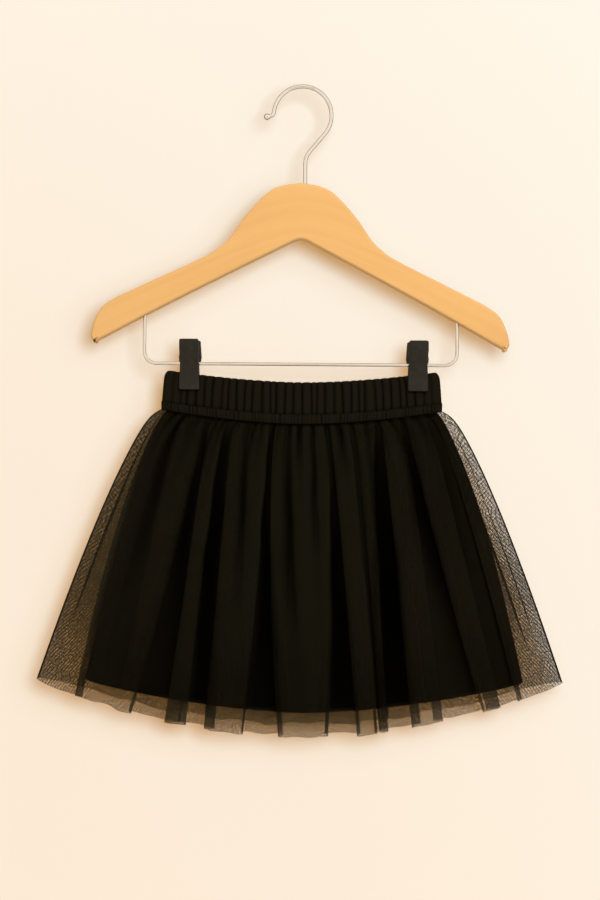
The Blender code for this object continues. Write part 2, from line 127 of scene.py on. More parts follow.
class Graph:
    """The node tree of one material."""

    def __init__(self, name: str) -> None:
        """Make an empty material.

        Args:
            name: the material's name.
        """
        self.material = bpy.data.materials.new(name)
        self.material.use_nodes = True
        self.tree = self.material.node_tree
        self.tree.nodes.clear()

    def feed(self, socket: bpy.types.NodeSocket, value: object) -> None:
        """Link a socket to a value, or set it.

        Args:
            socket: the input.
            value: a Value, a socket, a number or a tuple.
        """
        if isinstance(value, Value):
            self.tree.links.new(value.socket, socket)
        elif isinstance(value, bpy.types.NodeSocket):
            self.tree.links.new(value, socket)
        else:
            socket.default_value = value

    def add(
        self, kind: str, settings: Optional[dict] = None, sockets: Optional[dict] = None
    ) -> bpy.types.Node:
        """Add a node.

        Args:
            kind: the node's type.
            settings: properties, set first.
            sockets: values or links of its inputs, by name or number.

        Returns:
            The node.
        """
        node = self.tree.nodes.new(kind)
        for key, value in (settings or {}).items():
            setattr(node, key, value)
        for key, value in (sockets or {}).items():
            self.feed(node.inputs[key], value)
        return node

    def math(self, operation: str, *numbers: Number) -> Value:
        """The result of a Math node's operation on numbers, in order."""
        node = self.add("ShaderNodeMath", {"operation": operation}, dict(enumerate(numbers)))
        return Value(self, node.outputs[0])

    def place(self) -> bpy.types.NodeSocket:
        """Object coordinates."""
        return self.add("ShaderNodeTexCoord").outputs["Object"]

    def parts(self, vector: bpy.types.NodeSocket) -> tuple[Value, Value, Value]:
        """The three numbers of a vector."""
        node = self.add("ShaderNodeSeparateXYZ", None, {0: vector})
        return tuple(Value(self, outlet) for outlet in node.outputs)

    def join(self, x: Number, y: Number, z: Number) -> bpy.types.NodeSocket:
        """A vector of three numbers."""
        return self.add("ShaderNodeCombineXYZ", None, {0: x, 1: y, 2: z}).outputs[0]

    def threads(self) -> tuple[Value, Value]:
        """The piece's own UV map: across and along the cloth, in metres."""
        u, v, _ = self.parts(self.add("ShaderNodeUVMap", {"uv_map": "cloth"}).outputs[0])
        return u, v

    def mark(self, name: str) -> Value:
        """A number that the mesh carries."""
        return Value(self, self.add("ShaderNodeAttribute", {"attribute_name": name}).outputs["Fac"])

    def noise(self, vector: bpy.types.NodeSocket, scale: float, detail: float = 2.0) -> Value:
        """Noise between 0 and 1, with scale cells to a metre and detail octaves."""
        node = self.add("ShaderNodeTexNoise", None, {"Vector": vector, "Scale": scale, "Detail": detail})
        return Value(self, node.outputs[0])

    def step(self, value: Number, low: float, high: float, start: float = 0.0, end: float = 1.0) -> Value:
        """A smooth step.

        Args:
            value: the number that is read.
            low: where the step begins.
            high: where it ends.
            start: the result below low.
            end: the result above high.

        Returns:
            The stepped number.
        """
        settings = {"interpolation_type": "SMOOTHSTEP"}
        sockets = {"Value": value, "From Min": low, "From Max": high, "To Min": start, "To Max": end}
        return Value(self, self.add("ShaderNodeMapRange", settings, sockets).outputs[0])

    def mix(self, share: Number, first: object, second: object) -> bpy.types.NodeSocket:
        """A colour between two.

        Args:
            share: how much of the second.
            first: a colour or a socket.
            second: a colour or a socket.

        Returns:
            The mixed colour's socket.
        """
        colours = [(*each, 1.0) if isinstance(each, tuple) else each for each in (first, second)]
        node = self.add("ShaderNodeMix", {"data_type": "RGBA"}, {0: share, 6: colours[0], 7: colours[1]})
        return node.outputs[2]

    def bump(self, height: Value, depth: float) -> bpy.types.NodeSocket:
        """A normal from a height of 0 to 1, where 1 stands for a depth in metres."""
        return self.add("ShaderNodeBump", None, {"Height": height, "Distance": depth}).outputs[0]

    def finish(self, **sockets: object) -> bpy.types.Material:
        """Close the tree with a Principled shader.

        Args:
            sockets: its inputs, with _ for a blank in a name.

        Returns:
            The material.
        """
        named = {key.replace("_", " "): value for key, value in sockets.items()}
        colour = named.get("Base Color")
        if isinstance(colour, tuple) and len(colour) == 3:
            named["Base Color"] = (*colour, 1.0)
        shader = self.add("ShaderNodeBsdfPrincipled", None, named)
        self.add("ShaderNodeOutputMaterial", None, {0: shader.outputs[0]})
        return self.material


@dataclass(frozen=True)
class LacqueredWood:
    """Pale beech under a clear satin lacquer, its grain along the yoke's arms."""

    pale: Colour = (0.514, 0.298, 0.108)
    dark: Colour = (0.479, 0.268, 0.090)
    slope: float = 0.5
    crown_width: float = 0.03
    roughness: float = 0.45

    def material(self) -> bpy.types.Material:
        """The finish's material."""
        graph = Graph("lacquered_wood")
        x, y, z = graph.parts(graph.place())
        away = graph.math("SQRT", x * x + self.crown_width**2)
        across = z + away * self.slope
        along = away - z * self.slope
        grain = graph.join(along * 7.0 + x * 1.5, y * 60.0, across * 150.0)
        streak = graph.noise(grain, 1.0, 4.0)
        fine = graph.noise(graph.join(along * 45.0, y * 260.0, across * 900.0), 1.0, 2.0)
        cloud = graph.noise(graph.place(), 9.0, 2.0)
        share = graph.step(streak * 0.62 + fine * 0.16 + cloud * 0.30, 0.40, 0.78)
        colour = graph.mix(share, self.pale, self.dark)
        return graph.finish(
            Base_Color=colour,
            Roughness=graph.step(streak, 0.2, 0.8, self.roughness - 0.04, self.roughness + 0.07),
            Normal=graph.bump(fine + streak, 0.00004),
            Coat_Weight=0.12,
            Coat_Roughness=0.22,
        )


@dataclass(frozen=True)
class BrightSteel:
    """Bright plated wire with faint drawing lines."""

    colour: Colour = (0.83, 0.80, 0.75)
    tarnish: Colour = (0.50, 0.43, 0.35)
    roughness: float = 0.05

    def material(self) -> bpy.types.Material:
        """The finish's material."""
        graph = Graph("bright_steel")
        cloud = graph.noise(graph.place(), 160.0, 3.0)
        lines = graph.noise(graph.place(), 2600.0, 1.0)
        return graph.finish(
            Base_Color=graph.mix(graph.step(cloud, 0.50, 0.90, 0.0, 0.35), self.colour, self.tarnish),
            Metallic=1.0,
            Roughness=graph.step(cloud, 0.3, 0.8, self.roughness, self.roughness + 0.06),
            Normal=graph.bump(lines, 0.000003),
        )


@dataclass(frozen=True)
class BlackPlastic:
    """Satin moulded black with a fine grain, rubbed a little paler where hands press."""

    colour: Colour = (0.0090, 0.0080, 0.0051)
    rubbed: Colour = (0.0138, 0.0125, 0.0085)
    roughness: float = 0.36

    def material(self) -> bpy.types.Material:
        """The finish's material."""
        graph = Graph("black_plastic")
        grain = graph.noise(graph.place(), 3200.0, 2.0)
        wear = graph.noise(graph.place(), 170.0, 3.0)
        return graph.finish(
            Base_Color=graph.mix(graph.step(wear, 0.45, 0.75), self.colour, self.rubbed),
            Roughness=graph.step(wear, 0.3, 0.7, self.roughness, self.roughness + 0.09),
            Normal=graph.bump(grain, 0.00003),
            Specular_IOR_Level=0.22,
        )


@dataclass(frozen=True)
class BlackCloth:
    """Black cloth of crossing threads, as bump and as a faint change of tone."""

    name: str
    colour: Colour
    worn: Colour
    across_pitch: float
    along_pitch: float
    thread_height: float
    roughness: float = 0.85

    def material(self) -> bpy.types.Material:
        """The finish's material."""
        graph = Graph(self.name)
        u, v = graph.threads()
        across = graph.math("PINGPONG", u / (self.across_pitch * MM), 0.5)
        along = graph.math("PINGPONG", v / (self.along_pitch * MM), 0.5)
        cloud = graph.noise(graph.place(), 60.0, 3.0)
        threads = (across + along) * 0.8 + cloud * 0.2
        tone = graph.mix(graph.step(threads, 0.2, 0.9), self.colour, self.worn)
        return graph.finish(
            # painted shade and highlight: the mark lit takes the tone to black in folds, grooves and under
            # seams, a little paler beside crisp edges
            Base_Color=graph.mix(graph.mark("lit"), FOLD_SHADE_BLACK, tone),
            Roughness=graph.step(cloud, 0.3, 0.7, self.roughness - 0.05, self.roughness + 0.05),
            Normal=graph.bump(threads, self.thread_height * MM),
            Specular_IOR_Level=0.0,
        )


RIB_KNIT = BlackCloth("black_rib", (0.0062, 0.0053, 0.0030), (0.0082, 0.0070, 0.0043), 0.9, 0.7, 0.05)
LINING_WEAVE = BlackCloth("black_lining", (0.0050, 0.0043, 0.0024), (0.0062, 0.0052, 0.0031), 0.4, 0.4, 0.02)


@dataclass(frozen=True)
class Tulle:
    """Fine black net: two families of slanting threads with sheer cells between."""

    colour: Colour = (0.0058, 0.0050, 0.0028)
    pale: Colour = (0.0078, 0.0067, 0.0039)
    # painted light: the threads take this paler colour where no lining lies behind them, standing in for
    # light from behind shining through
    glow: Colour = (0.0125, 0.0115, 0.0070)
    pitch: float = 1.70
    thread: float = 0.36
    thread_alpha: float = 0.77
    cell_alpha: float = 0.29
    speckle: float = 1.15
    wander: float = 0.25
    dense_gain: float = 0.40
    seam_line: float = 1.1
    fold_line: float = 0.75
    fold_alpha: float = 0.85

    def _line(self, graph: Graph, mark: str, width: float, start: float) -> Value:
        """The dark line where a mark is below a width, from 0 to 1, with a soft edge from start on."""
        return graph.step(graph.mark(mark), width * start * MM, width * 1.3 * MM, 1.0, 0.0)

    def material(self) -> bpy.types.Material:
        """The finish's material."""
        graph = Graph("black_tulle")
        u, v = graph.threads()
        u = u + (graph.noise(graph.place(), 420.0, 1.0) - 0.5) * (self.wander * 2.0 * MM)
        v = v + (graph.noise(graph.join(u, v, 0.3), 420.0, 1.0) - 0.5) * (self.wander * 2.0 * MM)
        diagonal = self.pitch * MM * math.sqrt(2.0)
        width = self.thread / self.pitch
        rising = graph.math("PINGPONG", (u + v) / diagonal, 0.5)
        falling = graph.math("PINGPONG", (u - v) / diagonal, 0.5)
        near = graph.math("MINIMUM", rising, falling)
        thread = graph.step(near, width * 0.5, width * 1.1, 1.0, 0.0)
        cloud = graph.noise(graph.place(), 45.0, 3.0)
        speck = graph.noise(graph.join(u, v, 0.7), 740.0, 0.0)
        cell = self.cell_alpha + (cloud - 0.5) * 0.10
        net = cell + (self.thread_alpha - cell) * thread + (speck - 0.5) * self.speckle
        net = graph.math("MINIMUM", graph.math("MAXIMUM", net, 0.02), 0.98)
        net = net + (1.0 - net) * (self.dense_gain * graph.mark("dense"))
        seam = self._line(graph, "from_seam", self.seam_line, 0.7)
        fold = self._line(graph, "from_fold", self.fold_line, 0.5)
        solid = graph.math("MAXIMUM", seam, fold * self.fold_alpha)
        # painted shade and highlight from the mark lit, as on the other cloths
        own = graph.mix(graph.mark("lit"), FOLD_SHADE_BLACK, graph.mix(cloud, self.colour, self.pale))
        return graph.finish(
            # painted light: the glow colour where the net is sheer
            Base_Color=graph.mix(graph.mark("sheer") * (1.0 - solid), own, self.glow),
            Roughness=0.80,
            Alpha=net + (1.0 - net) * solid,
            Specular_IOR_Level=0.0,
        )


# ---------------------------------------------------------------------------
# Modelling helpers


def deselect() -> None:
    """Leave nothing selected."""
    if bpy.context.object and bpy.context.object.mode != "OBJECT":
        leave_edit()
    bpy.ops.object.select_all(action="DESELECT")


def select(piece: bpy.types.Object) -> None:
    """Leave one piece selected, and active."""
    deselect()
    piece.select_set(True)
    bpy.context.view_layer.objects.active = piece


def edit_all() -> None:
    """Open the active piece's mesh, all of it selected."""
    bpy.ops.object.mode_set(mode="EDIT")
    bpy.ops.mesh.select_all(action="SELECT")


def leave_edit() -> None:
    """Go back from the mesh to the object."""
    bpy.ops.object.mode_set(mode="OBJECT")


def draw_on(offset: Sequence[float]) -> None:
    """Extrude what is selected by an offset in metres."""
    bpy.ops.mesh.extrude_region_move(TRANSFORM_OT_translate={"value": offset})


def link(thing: bpy.types.Object) -> bpy.types.Object:
    """Put a new object into the scene, and return it."""
    bpy.context.scene.collection.objects.link(thing)
    return thing


def settle(piece: bpy.types.Object) -> None:
    """Put a piece's place into its mesh."""
    select(piece)
    bpy.ops.object.transform_apply(location=True, rotation=True, scale=True)


def apply_modifier(piece: bpy.types.Object, kind: str, **settings: object) -> None:
    """Add a modifier and apply it.

    Args:
        piece: the object.
        kind: the modifier's type.
        settings: its properties.
    """
    select(piece)
    change = piece.modifiers.new(kind.lower(), kind)
    for key, value in settings.items():
        setattr(change, key, value)
    bpy.ops.object.modifier_apply(modifier=change.name)


def close_up(piece: bpy.types.Object, angle: float = 35.0) -> None:
    """Turn a hard piece's faces outwards and shade it smooth between its edges.

    Args:
        piece: the object.
        angle: degrees between faces that stay an edge.
    """
    settle(piece)
    edit_all()
    bpy.ops.mesh.normals_make_consistent(inside=False)
    leave_edit()
    bpy.ops.object.shade_smooth_by_angle(angle=math.radians(angle))
    deselect()


def open_plate(name: str, width: float, thickness: float, middle: Sequence[float]) -> bpy.types.Object:
    """Add a level plate at its size and place, open for drawing on.

    Args:
        name: the piece's name.
        width: its size along x, in millimetres.
        thickness: its size along y, in millimetres.
        middle: its place, in metres.

    Returns:
        The object.
    """
    deselect()
    bpy.ops.mesh.primitive_plane_add(size=1.0)
    piece = bpy.context.object
    piece.name = name
    edit_all()
    bpy.ops.transform.resize(value=(width * MM, thickness * MM, 1.0))
    bpy.ops.transform.translate(value=middle)
    return piece


def dress(piece: bpy.types.Object, material: bpy.types.Material, node: str) -> None:
    """Give a piece its finish, its body and the node that it stands for.

    Args:
        piece: the object.
        material: its material.
        node: the CAD node that it replaces.
    """
    piece.data.materials.clear()
    piece.data.materials.append(material)
    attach(piece, BODY)
    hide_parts(node)
    LOG.info("%s: %d faces", piece.name, len(piece.data.polygons))


def declare_sheet(
    piece: bpy.types.Object, across: float, down: float
) -> None:
    """Log what a sheet's mesh measures.

    Args:
        piece: the sheet.
        across: the mesh's developed width in millimetres.
        down: the mesh's developed length in millimetres.
    """
    LOG.info("%s: %.0f mm across its folds, %.1f mm down", piece.name, across, down)


def mesh_object(name: str, points: np.ndarray, faces: list, threads: np.ndarray) -> bpy.types.Object:
    """Make an object with the UV map that cloth finishes read.

    Args:
        name: the piece's name.
        points: a grid of x, y, z in millimetres.
        faces: numbers of each face's points.
        threads: the same grid of u, v in metres.

    Returns:
        The object, linked to the scene.
    """
    mesh = bpy.data.meshes.new(name)
    mesh.from_pydata((points.reshape(-1, 3) * MM).tolist(), [], faces)
    layer = mesh.uv_layers.new(name="cloth")
    corners = np.empty(len(mesh.loops), dtype=np.int32)
    mesh.loops.foreach_get("vertex_index", corners)
    layer.uv.foreach_set("vector", threads.reshape(-1, 2)[corners].astype(np.float32).ravel())
    return link(bpy.data.objects.new(name, mesh))


def open_sheet(name: str, points: np.ndarray, side: Side, threads: np.ndarray) -> bpy.types.Object:
    """Make a sheet that faces its own side.

    Args:
        name: the piece's name.
        points: rows by columns by x, y, z, columns to +x and rows downwards.
        side: the side that the faces look to.
        threads: rows by columns by u, v.

    Returns:
        The object.
    """
    rows, columns = points.shape[:2]
    index = np.arange(rows * columns).reshape(rows, columns)
    quads = np.stack([index[:-1, :-1], index[:-1, 1:], index[1:, 1:], index[1:, :-1]], axis=-1).reshape(-1, 4)
    if side is Side.FRONT:
        quads = quads[:, ::-1]
    piece = mesh_object(name, points, quads.tolist(), threads)
    piece.data.shade_smooth()
    return piece


def swept_shell(name: str, rings: np.ndarray, threads: np.ndarray) -> bpy.types.Object:
    """Close equal rings of points, one after another towards +x, into a shell.

    Args:
        name: the piece's name.
        rings: rings by points by x, y, z.
        threads: rings by points by u, v.

    Returns:
        The object.
    """
    count, size = rings.shape[:2]
    index = np.arange(count * size).reshape(count, size)
    turned = np.roll(index, -1, axis=1)
    quads = np.stack([index[:-1], turned[:-1], turned[1:], index[1:]], axis=-1).reshape(-1, 4).tolist()
    piece = mesh_object(name, rings, [*quads, index[0].tolist()[::-1], index[-1].tolist()], threads)
    close_up(piece, 80.0)
    return piece


def add_mark(mesh: bpy.types.Mesh, name: str, values: np.ndarray) -> None:
    """Write a number for each vertex that a finish reads."""
    mesh.attributes.new(name, "FLOAT", "POINT").data.foreach_set("value", values.astype(np.float32).ravel())


def smooth_step(value: np.ndarray | float, low: float, high: float) -> np.ndarray | float:
    """A smooth rise from 0 at low to 1 at high."""
    share = np.clip((value - low) / (high - low), 0.0, 1.0)
    return share * share * (3.0 - 2.0 * share)


def measured(points: np.ndarray) -> np.ndarray:
    """Distance of each point from the first, along the first axis, with all folds."""
    steps = np.linalg.norm(np.diff(points, axis=0), axis=-1)
    return np.concatenate([np.zeros((1, *steps.shape[1:])), np.cumsum(steps, axis=0)])


def uneven(place: np.ndarray | float, seed: float) -> np.ndarray | float:
    """A slow wave without a visible period, from -1 to 1, another one for each seed."""
    waves = ((0.5, 1.0, 1.0), (0.3, 2.3, 4.1), (0.2, 4.7, 2.7))
    return sum(size * np.sin(rate * place + turn * seed) for size, rate, turn in waves)


# ---------------------------------------------------------------------------
# Hanger


class Wire:
    """A round wire that is drawn along the middle plane by its end face."""

    def __init__(self, name: str, diameter: float, x: float, z: float, sides: int = 24) -> None:
        """Add the wire's first section.

        Args:
            name: the piece's name.
            diameter: the wire's.
            x: where it starts.
            z: its height there.
            sides: corners of the section.
        """
        deselect()
        place = (x * MM, 0.0, z * MM)
        bpy.ops.mesh.primitive_circle_add(
            vertices=sides, radius=diameter / 2 * MM, fill_type="NGON", location=place
        )
        self.piece = bpy.context.object
        self.piece.name = name
        edit_all()

    def run(self, x: float, z: float, grow: float = 1.0) -> None:
        """Draw the wire straight on.

        Args:
            x: how far to the right.
            z: how far up.
            grow: how much wider the new end is.
        """
        draw_on((x * MM, 0.0, z * MM))
        if grow != 1.0:
            bpy.ops.transform.resize(value=(grow, grow, grow), center_override=self.end())

    def bend(self, x: float, z: float, degrees: float, steps: int) -> None:
        """Draw the wire round a centre by some degrees, anticlockwise from the front."""
        centre = (x * MM, 0.0, z * MM)
        bpy.ops.mesh.spin(steps=steps, angle=math.radians(degrees), center=centre, axis=(0.0, 1.0, 0.0))

    def end(self) -> tuple[float, float, float]:
        """The middle of the end face, in metres."""
        self.piece.update_from_editmode()
        chosen = [vertex.co for vertex in self.piece.data.vertices if vertex.select]
        middle = sum(chosen, Vector()) / len(chosen)
        return tuple(self.piece.matrix_world @ middle)

    def finish(self) -> bpy.types.Object:
        """Close the wire and return its object."""
        leave_edit()
        close_up(self.piece)
        return self.piece


@dataclass
class WireHook:
    """Wire hook: an upright shank, a slanting neck, a round top and a ball at its open end."""

    wire: float = 3.4
    inner_radius: float = 22.4
    leave_angle: float = 40.0
    mouth_angle: float = 174.0
    shank_x: float = 2.5
    foot_z: float = -96.6
    bend_radius: float = 16.0
    curl_radius: float = 4.0
    curl_angle: float = 74.0
    ball_radius: float = 2.8
    ball_angles: tuple = (142.0, 128.0, 115.0, 102.0, 90.0, 76.0, 62.0, 48.0, 34.0, 21.0, 9.0)
    ball_step: float = 0.12  # the least way from ring to ring
    neck_steps: int = 12
    top_steps: int = 72
    curl_steps: int = 16

    def build(self, steel: bpy.types.Material) -> bpy.types.Object:
        """Build the hook.

        Args:
            steel: its material.

        Returns:
            The hook.
        """
        slant = math.radians(self.leave_angle)
        radius = self.inner_radius + self.wire / 2
        leave = Vector((math.cos(slant) * radius, -self.inner_radius - math.sin(slant) * radius))
        towards = Vector((math.sin(slant), math.cos(slant)))
        corner = leave - towards * ((leave.x - self.shank_x) / towards.x)
        trim = self.bend_radius * math.tan(slant / 2)
        hook = Wire("hook_wire", self.wire, self.shank_x, self.foot_z)
        hook.run(0.0, corner.y - trim - self.foot_z)
        hook.bend(self.shank_x + self.bend_radius, corner.y - trim, -self.leave_angle, self.neck_steps)
        neck = leave - corner - towards * trim
        hook.run(neck.x, neck.y)
        hook.bend(0.0, -self.inner_radius, self.leave_angle + self.mouth_angle, self.top_steps)
        mouth = math.radians(self.mouth_angle)
        inner = radius + self.curl_radius
        centre = Vector((math.cos(mouth) * inner, math.sin(mouth) * inner - self.inner_radius))
        hook.bend(centre.x, centre.y, -self.curl_angle, self.curl_steps)
        heading = math.radians(self.mouth_angle + 90.0 - self.curl_angle)
        self._ball(hook, Vector((math.cos(heading), math.sin(heading))))
        piece = hook.finish()
        dress(piece, steel, "hook")
        return piece

    def _ball(self, hook: Wire, heading: Vector) -> None:
        """Swell the wire's end into a ball, ring by ring.

        Args:
            hook: the wire.
            heading: the way that its end points.
        """
        before_place = math.cos(math.radians(self.ball_angles[0])) * self.ball_radius
        before_radius = self.wire / 2
        for angle in self.ball_angles:
            place = math.cos(math.radians(angle)) * self.ball_radius
            radius = math.sin(math.radians(angle)) * self.ball_radius
            ahead = heading * max(place - before_place, self.ball_step)
            hook.run(ahead.x, ahead.y, radius / before_radius)
            before_place, before_radius = place, radius


@dataclass
class ClipBar:
    """Steel bar under the yoke, turned up at both ends."""

    wire: float = 2.8
    half_span: float = 130.2
    level_z: float = -229.9
    corner_radius: float = 10.0
    end_z: float = -181.0
    corner_steps: int = 14

    def build(self, steel: bpy.types.Material) -> bpy.types.Object:
        """Build the bar.

        Args:
            steel: its material.

        Returns:
            The bar.
        """
        corner_z = self.level_z + self.corner_radius
        inner = self.half_span - self.corner_radius
        bar = Wire("clip_bar_wire", self.wire, -self.half_span, self.end_z)
        bar.run(0.0, corner_z - self.end_z)
        bar.bend(-inner, corner_z, 90.0, self.corner_steps)
        bar.run(2 * inner, 0.0)
        bar.bend(inner, corner_z, 90.0, self.corner_steps)
        bar.run(0.0, self.end_z - corner_z)
        piece = bar.finish()
        dress(piece, steel, "clip_bar")
        return piece


@dataclass
class Yoke:
    """Wooden yoke: two sloping arms with rounded edges, holes for the shank and the bar."""

    thickness: float = 12.0
    edge_radius: float = 2.0
    edge_steps: int = 4
    curve_steps: int = 6
    shift: float = -0.6
    lean: float = 0.0145  # how far it drops to the right, as a share of x
    top: tuple = (
        (0.0, -79.6),
        (15.0, -81.8),
        (28.0, -88.3),
        (46.0, -107.6),
        (58.5, -125.4),
        (68.5, -134.8),
        (82.0, -143.4),
        (131.5, -167.2),
        (154.5, -178.6),
        (165.5, -187.0),
        (171.8, -200.0),
        (174.0, -210.5),
    )
    bottom: tuple = (
        (171.6, -214.6),
        (166.5, -212.8),
        (120.0, -187.2),
        (67.0, -159.3),
        (15.0, -132.4),
        (5.0, -127.4),
        (0.0, -126.2),
    )
    hole_spare: float = 0.3
    shank_hole: tuple = (1.0, 5.0)  # how far it goes past the shank's foot and the crown
    bar_hole_foot: float = -210.0
    bar_hole_past: float = 1.5
    merge_distance: float = 0.01

    def outline(self) -> list[tuple[float, float]]:
        """The whole outline, clockwise from the crown."""
        half = self._curve(self.top) + self._curve(self.bottom)
        whole = half + [(-x, z) for x, z in reversed(half[1:-1])]
        return [(x + self.shift, z - self.lean * x) for x, z in whole]

    def _curve(self, points: Sequence[tuple[float, float]]) -> list[tuple[float, float]]:
        """A Catmull-Rom curve through points.

        Args:
            points: x and z of each.

        Returns:
            The curve's points.
        """
        ends = [Vector(point) for point in (points[0], *points, points[-1])]
        curve = []
        for a, b, c, d in zip(ends, ends[1:], ends[2:], ends[3:]):
            for step in range(self.curve_steps):
                s = step / self.curve_steps
                bend = (2 * a - 5 * b + 4 * c - d) * s**2
                twist = (3 * b - a - 3 * c + d) * s**3
                curve.append(0.5 * (2 * b + (c - a) * s + bend + twist))
        curve.append(ends[-1])
        return [(point.x, point.y) for point in curve]

    def build(self, wood: bpy.types.Material, hook: WireHook, bar: ClipBar) -> bpy.types.Object:
        """Build the yoke.

        Args:
            wood: its material.
            hook: the hook whose shank it holds.
            bar: the bar whose ends it holds.

        Returns:
            The yoke.
        """
        outline = self.outline()
        deselect()
        curve = bpy.data.curves.new("yoke_outline", "CURVE")
        curve.dimensions, curve.fill_mode = "2D", "BOTH"
        spline = curve.splines.new("POLY")
        spline.points.add(len(outline) - 1)
        for point, (x, z) in zip(spline.points, outline):
            point.co = (x * MM, z * MM, 0.0, 1.0)
        spline.use_cyclic_u = True
        curve.extrude = (self.thickness / 2 - self.edge_radius) * MM
        curve.bevel_depth, curve.offset = self.edge_radius * MM, -self.edge_radius * MM
        curve.bevel_resolution = self.edge_steps
        piece = link(bpy.data.objects.new("yoke_wood", curve))
        piece.rotation_euler = (math.pi / 2, 0.0, 0.0)
        select(piece)
        bpy.ops.object.convert(target="MESH")
        edit_all()
        bpy.ops.mesh.remove_doubles(threshold=self.merge_distance * MM)
        leave_edit()
        close_up(piece)
        foot, head = self.shank_hole
        self._bore(piece, hook.shank_x, hook.foot_z - foot, self.top[0][1] + head, hook.wire)
        for x in (-bar.half_span, bar.half_span):
            self._bore(piece, x, self.bar_hole_foot, bar.end_z + self.bar_hole_past, bar.wire)
        close_up(piece)
        apply_modifier(piece, "WEIGHTED_NORMAL", keep_sharp=True, weight=80)
        dress(piece, wood, "yoke")
        return piece

    def _bore(self, piece: bpy.types.Object, x: float, low: float, high: float, wire: float) -> None:
        """Drill an upright hole.

        Args:
            piece: the yoke.
            x: the hole's place.
            low: its lower end.
            high: its upper end.
            wire: the diameter of the wire that goes in.
        """
        deselect()
        bpy.ops.mesh.primitive_cylinder_add(
            vertices=24,
            radius=(wire / 2 + self.hole_spare) * MM,
            depth=(high - low) * MM,
            location=(x * MM, 0.0, (high + low) / 2 * MM),
        )
        drill = bpy.context.object
        apply_modifier(piece, "BOOLEAN", operation="DIFFERENCE", object=drill)
        bpy.data.objects.remove(drill, do_unlink=True)


class JawRow(NamedTuple):
    """One level of a clip jaw."""

    z: float
    inner_y: float
    half_width: float


@dataclass
class Clip:
    """A clip: two jaws that lean apart above the bar, and the spring strip over the bar."""

    hand: str
    x: float
    thickness: float = 2.3
    edge_radius: float = 1.1
    front_rows: tuple = (
        JawRow(-209.9, 9.7, 7.4),
        JawRow(-210.9, 9.5, 8.05),
        JawRow(-218.0, 7.7, 8.2),
        JawRow(-224.0, 5.5, 7.9),
        JawRow(-229.9, 3.7, 7.7),
        JawRow(-236.0, 3.4, 7.9),
        JawRow(-242.0, 3.3, 8.3),
        JawRow(-250.6, 3.3, 8.4),
        JawRow(-251.8, 3.6, 7.9),
    )
    back_rows: tuple = (
        JawRow(-209.9, 9.7, 7.9),
        JawRow(-210.9, 9.5, 8.4),
        JawRow(-218.0, 7.7, 9.0),
        JawRow(-224.5, 5.4, 9.6),
        JawRow(-227.5, 4.4, 9.2),
        JawRow(-229.9, 3.7, 7.7),
        JawRow(-242.0, 3.3, 8.3),
        JawRow(-250.6, 3.3, 8.4),
        JawRow(-251.8, 3.6, 7.9),
    )
    steel: float = 0.7
    spring_radius: float = 2.0
    spring_width: float = 10.0
    spring_foot_z: float = -236.4
    rounding_steps: int = 4
    rounding_angle: float = 50.0
    spring_steps: int = 14

    def build(
        self, plastic: bpy.types.Material, steel: bpy.types.Material, bar: ClipBar
    ) -> list[bpy.types.Object]:
        """Build the clip.

        Args:
            plastic: the jaws' material.
            steel: the spring's material.
            bar: the bar that it rides on.

        Returns:
            Its two jaws and its spring.
        """
        return [
            self._jaw(Side.FRONT, self.front_rows, plastic),
            self._jaw(Side.BACK, self.back_rows, plastic),
            self._spring(steel, bar),
        ]

    def _jaw(self, side: Side, rows: Sequence[JawRow], plastic: bpy.types.Material) -> bpy.types.Object:
        """One jaw, drawn down level by level and rounded at its edges.

        Args:
            side: the jaw's side of the bar.
            rows: its levels.
            plastic: its material.

        Returns:
            The jaw.
        """
        half = self.thickness / 2
        middles = [Vector((self.x, side.value * (row.inner_y + half), row.z)) * MM for row in rows]
        name = f"clip_{self.hand}_{side.word}"
        piece = open_plate(f"{name}_plate", 2 * rows[0].half_width, self.thickness, middles[0])
        for row, after, middle, next_middle in zip(rows, rows[1:], middles, middles[1:]):
            draw_on(next_middle - middle)
            widen = after.half_width / row.half_width
            bpy.ops.transform.resize(value=(widen, 1.0, 1.0), center_override=next_middle)
        bpy.ops.mesh.select_all(action="SELECT")
        bpy.ops.mesh.normals_make_consistent(inside=False)
        leave_edit()
        limit = {"limit_method": "ANGLE", "angle_limit": math.radians(self.rounding_angle)}
        size = {"width": self.edge_radius * MM, "segments": self.rounding_steps}
        apply_modifier(piece, "BEVEL", harden_normals=True, **size, **limit)
        close_up(piece, self.rounding_angle)
        dress(piece, plastic, f"{name}_jaw")
        return piece

    def _spring(self, steel: bpy.types.Material, bar: ClipBar) -> bpy.types.Object:
        """The steel strip that passes over the bar and presses the jaws together.

        Args:
            steel: its material.
            bar: the bar that it passes over.

        Returns:
            The spring.
        """
        y = -(self.spring_radius + self.steel / 2)
        foot = (self.x * MM, y * MM, self.spring_foot_z * MM)
        piece = open_plate(f"clip_{self.hand}_strip", self.spring_width, self.steel, foot)
        leg = (bar.level_z - self.spring_foot_z) * MM
        draw_on((0.0, 0.0, leg))
        centre = (self.x * MM, 0.0, bar.level_z * MM)
        bpy.ops.mesh.spin(steps=self.spring_steps, angle=math.pi, center=centre, axis=(1.0, 0.0, 0.0))
        draw_on((0.0, 0.0, -leg))
        leave_edit()
        close_up(piece)
        dress(piece, steel, f"clip_{self.hand}_spring")
        return piece


# ---------------------------------------------------------------------------
# Waist


